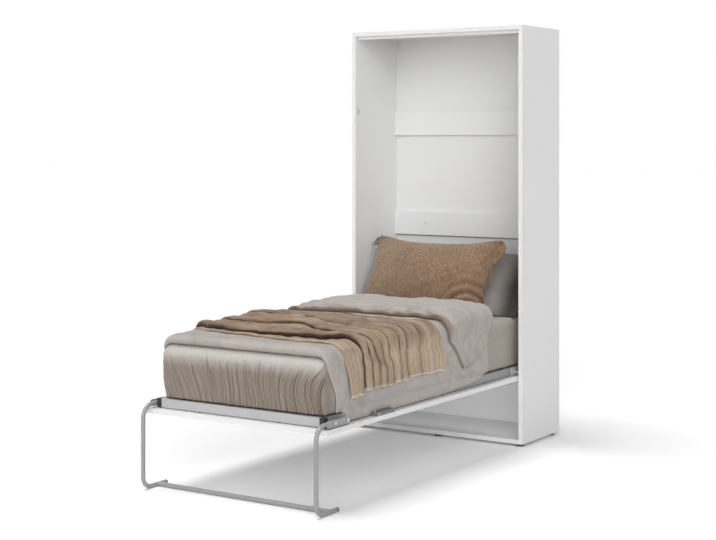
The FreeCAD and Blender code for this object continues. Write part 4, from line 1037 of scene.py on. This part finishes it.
THROW_FRONTS = [(-0.62, -0.75), (-0.50, -0.77), (-0.43, -0.79), (-0.34, -0.85), (-0.20, -0.880),
                (-0.05, -0.870), (0.15, -0.875), (0.30, -0.885), (0.42, -0.895), (0.46, -0.868),
                (0.50, -0.845), (0.56, -0.825), (0.64, -0.808)]
THROW_BACKS = [(-0.62, -0.12), (-0.40, -0.15), (-0.23, -0.175), (0.00, -0.155), (0.20, -0.160),
               (0.33, -0.150), (0.41, -0.100), (0.46, -0.040), (0.52, 0.000), (0.58, 0.006),
               (0.64, -0.030)]
VALLEYS = [
    [(-0.60, -0.71), (-0.44, -0.745), (-0.34, -0.80), (-0.20, -0.823), (0.08, -0.815),
     (0.25, -0.80), (0.36, -0.78), (0.42, -0.755), (0.45, -0.72), (0.50, -0.70), (0.64, -0.698)],
    [(-0.60, -0.64), (-0.44, -0.665), (-0.33, -0.70), (-0.10, -0.70), (0.10, -0.70),
     (0.28, -0.735), (0.38, -0.73), (0.43, -0.69), (0.48, -0.645), (0.64, -0.63)],
    [(-0.60, -0.56), (-0.44, -0.58), (-0.33, -0.605), (-0.20, -0.625), (-0.10, -0.59),
     (0.02, -0.573), (0.20, -0.65), (0.30, -0.67), (0.38, -0.68), (0.42, -0.655), (0.45, -0.62),
     (0.49, -0.585), (0.64, -0.566)],
    [(-0.60, -0.50), (-0.30, -0.50), (-0.08, -0.46), (0.05, -0.50), (0.20, -0.57),
     (0.32, -0.61), (0.40, -0.60), (0.46, -0.56), (0.52, -0.525), (0.64, -0.515)],
    [(-0.60, -0.40), (-0.35, -0.38), (-0.15, -0.35), (0.06, -0.44), (0.22, -0.50),
     (0.33, -0.54), (0.42, -0.53), (0.46, -0.51), (0.51, -0.475), (0.64, -0.455)],
    [(-0.60, -0.32), (-0.35, -0.29), (-0.10, -0.26), (0.08, -0.34), (0.22, -0.39),
     (0.33, -0.43), (0.42, -0.44), (0.48, -0.41), (0.52, -0.395), (0.64, -0.388)],
    [(-0.60, -0.24), (-0.13, -0.20), (0.00, -0.21), (0.18, -0.275), (0.30, -0.325),
     (0.38, -0.37), (0.43, -0.372), (0.48, -0.34), (0.64, -0.318)],
    [(-0.60, -0.19), (0.00, -0.165), (0.20, -0.20), (0.34, -0.245), (0.42, -0.25),
     (0.50, -0.215), (0.64, -0.20)],
]
# Height of each fold on the top of the bed and on its sides: the flat front part comes first
FOLD_HEIGHTS = [(0.0010, 0.0050), (0.0300, 0.0105), (0.0170, 0.0120), (0.0250, 0.0130),
                (0.0170, 0.0130), (0.0230, 0.0130), (0.0100, 0.0060), (0.0050, 0.0050),
                (0.0010, 0.0040)]
THROW_HEMS = [(-0.83, -0.010), (-0.715, -0.008), (-0.695, 0.004), (-0.34, 0.012), (-0.30, 0.020),
              (0.0, 0.008)]
THROW_RIGHT = reach_to(0.470)
THROW_LEFT = reach_to(0.560)
THROW_LONG = 1.04
KNIT_THICK = 0.0035
SIDE_BY_LEG = 0.4628
SIDE_BY_FRAME = 0.4680
FOLD_COUNT = len(FOLD_HEIGHTS)
FOLD_STEPS = 26


def place_throw(run, number, part):
    """The throw's outer face and painted shade: folds stand off the duvet, plump on top, tight
    below.
    """
    lines = [read_off(line, run) + 0.005 * ripple(run * 8, 3.3 * index, 2)
             for index, line in enumerate([THROW_FRONTS, *VALLEYS, THROW_BACKS])]
    start = np.choose(number, lines[:-1])
    long = np.maximum(np.choose(number, lines[1:]) - start, 0.02)
    along = start + long * part
    folded = number > 0
    side = hanging(run, 0.40, 0.48)
    on_top, on_side = (np.choose(number, heights) for heights in zip(*FOLD_HEIGHTS))
    uneven = 1 + 0.30 * ripple(run * 6 + number * 7, number * 2.7, 5) * (1 - side)
    tall = on_top * uneven * (1 - side) + on_side * side
    # The first and last parts lie flat at the cloth's own ends
    open_end = ((number == 0) & (part < 0.5)) | ((number == FOLD_COUNT - 1) & (part > 0.5))
    shape = np.where(open_end, 1.0, np.abs(np.sin(np.pi * part)) ** 0.5)
    crease = 0.0045 * (1 - np.abs(np.sin(np.pi * part)) ** 0.3) * ~open_end
    squeeze = 0.17 * long * np.clip(tall / 0.010, 0, 1) * ~open_end
    pinch = squeeze * np.sin(2 * np.pi * part) + tall * 0.55 * shape * (1 - side) * folded
    from_front, from_back = part * long, (1 - part) * long
    rib_wave = np.sin(from_front * 215 + 1.2 * ripple(run * 7, along * 9, 3))
    ribs = 0.0007 * rib_wave
    small_folds = wrinkle(run * 6 + 3 * ripple(run * 3, along * 8, 1), along * 42, 4, 0.24) \
        * (1 - side) * folded
    crumple = (0.0026 * ripple(run * 21 + along * 13, along * 34, 3)
               + 0.0050 * ripple(run * 9 + 4, along * 26, 6) * folded) * (1 - side) \
        - 0.0035 * small_folds
    reach = np.where(run > 0, THROW_RIGHT, THROW_LEFT)
    to_hem = hanging(run, reach - 0.060, reach)
    frill = 0.0028 * np.sin(along * 260 + 3 * ripple(along * 12, 4.5, 6)) * to_hem * side
    under = duvet_rise(run, along)
    away = under + 0.0014 + KNIT_THICK + tall * shape + ribs + crumple + frill
    away = np.maximum(away - crease * side, under + OFF_DUVET + KNIT_THICK)
    # The hem drops lowest at the foot end; it rises in the gaps between the flutes
    hem = read_off(THROW_HEMS, along) \
        + 0.016 * (np.abs(np.cos(np.pi * part)) ** 3) * folded * (number < 7) \
        + 0.005 * ripple(along * 40, 2.5, 7)
    points = lay(run, along - pinch, away, hem * to_hem * side)
    limit = np.where(along < -0.60, SIDE_BY_LEG, SIDE_BY_FRAME)
    # The folded leg bends inwards over the bed's edge at its crossbar
    by_leg = ease(points[..., 1], -0.835, -0.815) * ease(-points[..., 1], 0.715, 0.735)
    limit = limit - 0.40 * by_leg * np.maximum(points[..., 2] - 0.680, 0)
    points[..., 0] = np.clip(points[..., 0], -limit, limit)
    clear_rails(points)
    # Painted shade in the creases, the small folds, the low front of each fold and each flute's far
    # edge; the flat front band and the flutes on the sides are painted paler
    creases = bell(from_front, 0.0085 + 0.0055 * side) * folded \
        + bell(from_back, 0.0060 + 0.0150 * side) * (number < FOLD_COUNT - 1)
    shallow = np.where(number > 6, 0.45, 1.0)
    shaded_front = (1 - ease(from_front, 0.004, 0.45 * long)) * (1 - side) * folded
    level = np.where(number == 0, 1.02 + 0.18 * side, 0.80 + 0.54 * side)
    level = np.where(number > 5, level - 0.08 * side, level)
    back_shade = ease(part, 0.60, 0.96) * side * folded * (number < 6)
    tone = level * (1 - 0.93 * shallow * np.clip(creases, 0, 1)) * (1 - 0.42 * shaded_front) \
        * (1 - 0.38 * back_shade) * (1 - 0.34 * small_folds) \
        * (1 + 0.03 * rib_wave * side + (1 - side) * (
            0.30 * ripple(run * 8, along * 30, 7) + 0.16 * ripple(run * 24, along * 60, 2)))
    return points, tone


# The points of each fold lie closer together in its valleys
even = np.linspace(0, 0.2, FOLD_STEPS + 1)
fold_parts = (1 - np.cos(np.linspace(0, np.pi, FOLD_STEPS + 1))) / 2 * 0.8 + even
throw_runs = np.linspace(-THROW_LEFT, THROW_RIGHT, 196)
run, number = np.meshgrid(throw_runs, np.repeat(np.arange(FOLD_COUNT), FOLD_STEPS), indexing="ij")
part = np.broadcast_to(np.tile(fold_parts[:-1], FOLD_COUNT), run.shape)
throw_points, throw_shade = place_throw(run, number, part)
share = np.broadcast_to(np.linspace(0, 1, run.shape[1]), run.shape)
throw_cloth, wire = start_material("throw_cloth")
flat = wire.node("ShaderNodeUVMap", {"uv_map": "cloth"})
rib = waves(wire, flat, "X", 20.0, 3.0, detail_scale=3.0)
yarn = waves(wire, flat, "Y", 95.0, 2.5)
fluff = noise(wire, flat, 330.0, 5.0, 0.7)
cloud = noise(wire, object_place(wire), 11.0, 3.0)
relief = rib * 0.3 + yarn * 0.25 + fluff * 0.6
tone = ramp(wire, relief * 0.62 + cloud * 0.28, [
    (0.25, (0.268, 0.178, 0.113, 1)), (0.5, (0.392, 0.280, 0.188, 1)),
    (0.75, (0.486, 0.368, 0.262, 1))])
across_cloth = axis_of(wire, flat, 1)
HEM_BAND = 0.009
edge_right = wire.maths("GREATER_THAN", across_cloth, THROW_RIGHT - HEM_BAND)
edge_left = wire.maths("LESS_THAN", across_cloth, HEM_BAND - THROW_LEFT)
tone = mixed(wire, (edge_right + edge_left) * 0.85, tone, (0.56, 0.49, 0.41, 1))
surface(wire, {
    "Base Color": with_painted_fold_shade(wire, tone), "Roughness": 0.95, "Specular IOR Level": 0.12,
    "Sheen Weight": 0.2, "Sheen Roughness": 0.6, "Normal": bump(wire, relief, 0.75, 0.0030)})
throw = mesh_piece("throw_blanket_cloth", throw_points, grid_faces(numbers(*run.shape)),
                   throw_cloth, np.stack([share * THROW_LONG, run], 2).reshape(-1, 2), throw_shade)
if sum(face.normal.z * face.area for face in throw.data.polygons) < 0:
    throw.data.flip_normals()
thicken(throw, "knit_thickness", KNIT_THICK)
# Whipping over both side hems: a pale cord with a stitch every few millimetres
hem_sizes = {"Cord": 0.0012, "Stitch": 0.0010, "Gap": 0.0075}
wire, size = start_recipe("hem_whipping", hem_sizes)
hem_line = wire.node("GeometryNodeMeshToCurve", {}, {"Mesh": size["Start"]})
smooth_line, stitch_places = (wire.node("GeometryNodeResampleCurve", {"mode": "LENGTH"}, {
    "Curve": hem_line, "Length": pitch}) for pitch in (0.0045, size["Gap"]))
cord = wire.node("GeometryNodeCurveToMesh", {}, {
    "Curve": smooth_line, "Fill Caps": True,
    "Profile Curve": wire.node("GeometryNodeCurvePrimitiveCircle", {}, {
        "Resolution": 8, "Radius": size["Cord"]})})
stitch = wire.node("GeometryNodeMeshIcoSphere", {}, {"Radius": size["Stitch"], "Subdivisions": 1})
whipped = joined(wire, [cord, repeated(wire, stitch_places, stitch, (1.0, 1.0, 2.4))])
thread = woven_cotton("hem_thread", (0.52, 0.46, 0.39, 1), (0.44, 0.385, 0.32, 1), 700.0, 0.3)
hem_ends = np.stack([throw_points[-1], throw_points[0]])
hem_ends[..., 0] -= np.sign(hem_ends[..., 0]) * KNIT_THICK * 0.5
hem_count = hem_ends.shape[1]
hem_mesh = bpy.data.meshes.new("hem_lines")
hem_mesh.from_pydata(hem_ends.reshape(-1, 3).tolist(), [
    (start + item, start + item + 1)
    for start in (0, hem_count) for item in range(hem_count - 1)], [])
hem_whipping = make_from(wire, whipped, "throw_hem_whipping", hem_sizes, thread, hem_mesh)
hem_whipping.data.shade_smooth()
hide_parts("throw_blanket")
for part in (throw, hem_whipping):
    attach(part, "bed")

# Pillows
# Two pillows leaning on each other at the head: the front one in a nubbly tan case with loose
# flaps at its ends, the rear one in plain grey cotton. Each case is two sewn panels.

AIR_STEPS = 20
SEAT_Z = 0.6562
FLAP_HALF = 0.0022
FLAP_SHADE = 0.92


def sewn_case(name, wide, tall, thick, sag, cells, cap):
    """Two flat panels sewn round their rim and filled with air until the seam puckers.

    The cap is the furthest that the air may move a point.
    """
    columns, rows = cells
    u, v = np.meshgrid(np.linspace(-1, 1, columns), np.linspace(-1, 1, rows), indexing="ij")
    swell = (1 - u ** 2) ** 0.5 * (1 - v ** 2) ** 0.5
    halves = [np.stack([u * wide / 2 * (1 - 0.02 * (1 - v ** 2)),
                        way * thick * 0.42 * swell ** 0.8,
                        v * tall / 2 * (1 - sag * (1 - u ** 2) * (v > 0))], -1) for way in (-1, 1)]
    front = numbers(columns, rows)
    behind = front + columns * rows
    rim = (np.abs(u) == 1) | (np.abs(v) == 1)
    behind[rim] = front[rim]
    faces = np.vstack([grid_faces(front)[:, [0, 3, 2, 1]], grid_faces(behind)[:, [1, 2, 3, 0]]])
    mesh = bpy.data.meshes.new(name)
    mesh.from_pydata(np.reshape(halves, (-1, 3)).tolist(), [], faces.tolist())
    mend(mesh, lambda work: bmesh.ops.delete(
        work, geom=[vert for vert in work.verts if not vert.link_faces], context="VERTS"))
    case = stand(name, mesh)
    cloth = case.modifiers.new("air", "CLOTH")
    for setting, value in {"quality": 6, "mass": 0.25, "use_pressure": True,
                           "uniform_pressure_force": 4.0, "tension_stiffness": 20,
                           "compression_stiffness": 20, "bending_stiffness": 0.4}.items():
        setattr(cloth.settings, setting, value)
    cloth.settings.effector_weights.gravity = 0
    cloth.point_cache.frame_start = 1
    cloth.point_cache.frame_end = AIR_STEPS
    for step in range(1, AIR_STEPS + 1):
        bpy.context.scene.frame_set(step)
    filled = as_made(case)
    case.modifiers.clear()
    start = points_of(mesh)
    move = points_of(filled) - start
    long = np.linalg.norm(move, axis=1, keepdims=True)
    move *= np.minimum(1.0, cap / np.maximum(long, 1e-6))
    filled.vertices.foreach_set("co", (start + move).ravel())
    case.data = filled
    bpy.context.scene.frame_set(1)
    return case


def points_of(mesh):
    points = np.empty(len(mesh.vertices) * 3)
    mesh.vertices.foreach_get("co", points)
    return points.reshape(-1, 3)


def pillow_flat(case, size):
    """The case's points, brought to its size and standing on a long edge."""
    flat = points_of(case.data)
    flat = flat * (np.array(size) / (flat.max(0) - flat.min(0)))
    flat[:, 2] -= flat[:, 2].min()
    return flat


def leaned(flat, foot, lean, middle):
    """Stand a pillow on its long edge at foot and lean it back."""
    points = np.stack([middle + flat[:, 0],
                       foot + flat[:, 1] * math.cos(lean) + flat[:, 2] * math.sin(lean),
                       SEAT_Z + flat[:, 2] * math.cos(lean) - flat[:, 1] * math.sin(lean)], 1)
    points[:, 2] = np.maximum(points[:, 2], SEAT_Z)
    return points


def set_points(mesh, points):
    mesh.vertices.foreach_set("co", points.ravel())
    mesh.update()


def dress(case, material):
    case.data.materials.clear()
    case.data.materials.append(material)
    case.data.shade_smooth()


TAN_WIDE = 0.775
TAN_TALL = 0.452
tan_low, tan_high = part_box("pillow_tan")
tan_stand = {"foot": 0.612, "lean": math.radians(27), "middle": (tan_low.x + tan_high.x) / 2}
tan = sewn_case("pillow_tan_case", wide=0.80, tall=0.49, thick=0.17, sag=0.16, cells=(88, 52),
                cap=0.020)
flat = pillow_flat(tan, (TAN_WIDE, 0.150, TAN_TALL))
flat[:, 0] -= 0.028 * (1 - flat[:, 2] / TAN_TALL)
# Pulled folds fan out from the lower right corner
corner_x, corner_z = 0.30, 0.02
corner_fold = np.hypot(flat[:, 0] - corner_x, flat[:, 2] - corner_z)
fan = ease(0.24 - corner_fold, 0.0, 0.16) * ease(corner_fold, 0.03, 0.08)
turn = np.arctan2(flat[:, 2] - corner_z, corner_x - flat[:, 0])
pucker = fan * np.sin(corner_fold * 120 + 3.0 * turn)
flat[:, 1] += np.sign(flat[:, 1]) * 0.0080 * pucker
# Painted light: lighter towards the top, lighter and darker across the puckers, darker at the right
# end
tan_shade = (0.78 + 0.46 * flat[:, 2] / TAN_TALL) * (1 + 0.34 * pucker) \
    * (1 - 0.25 * ease(flat[:, 0], 0.27, 0.37))
flat[:, 1] += np.sign(flat[:, 1]) * 0.0030 * ripple(flat[:, 0] * 13, flat[:, 2] * 10, 2) \
    * ease(np.abs(flat[:, 1]), 0.0, 0.03)
set_points(tan.data, leaned(flat, **tan_stand))

# A drop is a share of the case's height, a width how far the flap stands out there
FLAPS = [(-1, [(0, 0.012), (0.10, 0.046), (0.24, 0.050), (0.34, 0.004)]),
         (1, [(0, 0.006), (0.10, 0.032), (0.24, 0.040), (0.29, 0.008), (0.42, 0.004),
              (0.56, -0.022)])]


def flap(side, widths):
    """A loose end of the case: a strip of doubled cloth that folds back from the side seam."""
    across, fall = np.meshgrid(np.linspace(0, 1, 9), np.linspace(0, 1, 40), indexing="ij")
    wide = read_off(widths, fall)
    x = side * (TAN_WIDE / 2 - 0.032 + across * (wide + 0.028))
    z = TAN_TALL - 0.006 - fall * TAN_TALL * widths[-1][0] - 0.55 * across * wide
    y = 0.010 * across + 0.010 * np.sin(fall * 21 + side) * across * (wide > 0.012)
    return shell_rows(np.stack([x, y - FLAP_HALF, z], -1),
                      np.stack([x, y + FLAP_HALF, z], -1)), shell_faces(*across.shape)


def sew_flaps(work):
    for side, widths in FLAPS:
        points, faces = flap(side, widths)
        corners = [work.verts.new(place) for place in leaned(points, **tan_stand)]
        for face in faces:
            work.faces.new([corners[index] for index in face])


mend(tan.data, sew_flaps)
# The flaps get a slightly darker painted shade
write_shade(tan.data, np.append(tan_shade, np.full(len(tan.data.vertices) - len(flat), FLAP_SHADE)))
boucle, wire = start_material("tan_pillow_cloth")
place = object_place(wire)
nub = noise(wire, stretched(wire, place, (190.0, 90.0, 66.0)), 1.0, 4.0, 0.6, 0.8)
fluff = noise(wire, place, 520.0, 4.0, 0.7)
cloud = noise(wire, place, 9.0, 3.0)
relief = nub * 0.8 + fluff * 0.25
tone = ramp(wire, relief * 0.85 + cloud * 0.12, [
    (0.36, (0.115, 0.067, 0.036, 1)), (0.53, (0.232, 0.146, 0.088, 1)),
    (0.70, (0.420, 0.300, 0.202, 1))])
surface(wire, {
    "Base Color": with_painted_fold_shade(wire, tone), "Roughness": 0.96, "Specular IOR Level": 0.1,
    "Sheen Weight": 0.25, "Sheen Roughness": 0.6, "Normal": bump(wire, relief, 0.9, 0.0045)})
dress(tan, boucle)

grey_low, grey_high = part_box("pillow_grey")
grey = sewn_case("pillow_grey_case", wide=0.72, tall=0.46, thick=0.15, sag=0.05, cells=(70, 48),
                 cap=0.022)
flat = pillow_flat(grey, (0.70, 0.130, 0.432))
points = leaned(flat, foot=0.753, lean=math.radians(44), middle=(grey_low.x + grey_high.x) / 2)
set_points(grey.data, points)
write_cloth(grey.data, flat[:, [0, 2]])
# Painted shade: darker towards the pillow's right end and towards its top
write_shade(grey.data, (1.0 - 0.86 * ease(points[:, 0], 0.285, 0.400))
            * (1.0 - 0.35 * ease(points[:, 2], 0.68, 0.90)))
dress(grey, woven_cotton("grey_pillow_cloth", (0.41, 0.375, 0.35, 1), (0.34, 0.31, 0.285, 1),
                         650.0, 0.4, folded=(1.0, 1.0, 1.0)))
for pillow, node, finish_slot in ((tan, "pillow_tan", "tan_pillow_cloth"),
                                  (grey, "pillow_grey", "grey_pillow_cloth")):
    smooth = pillow.modifiers.new("smooth", "SUBSURF")
    smooth.levels = 1
    smooth.render_levels = 1
    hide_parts(node)
    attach(pillow, "bed")
    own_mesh(pillow)
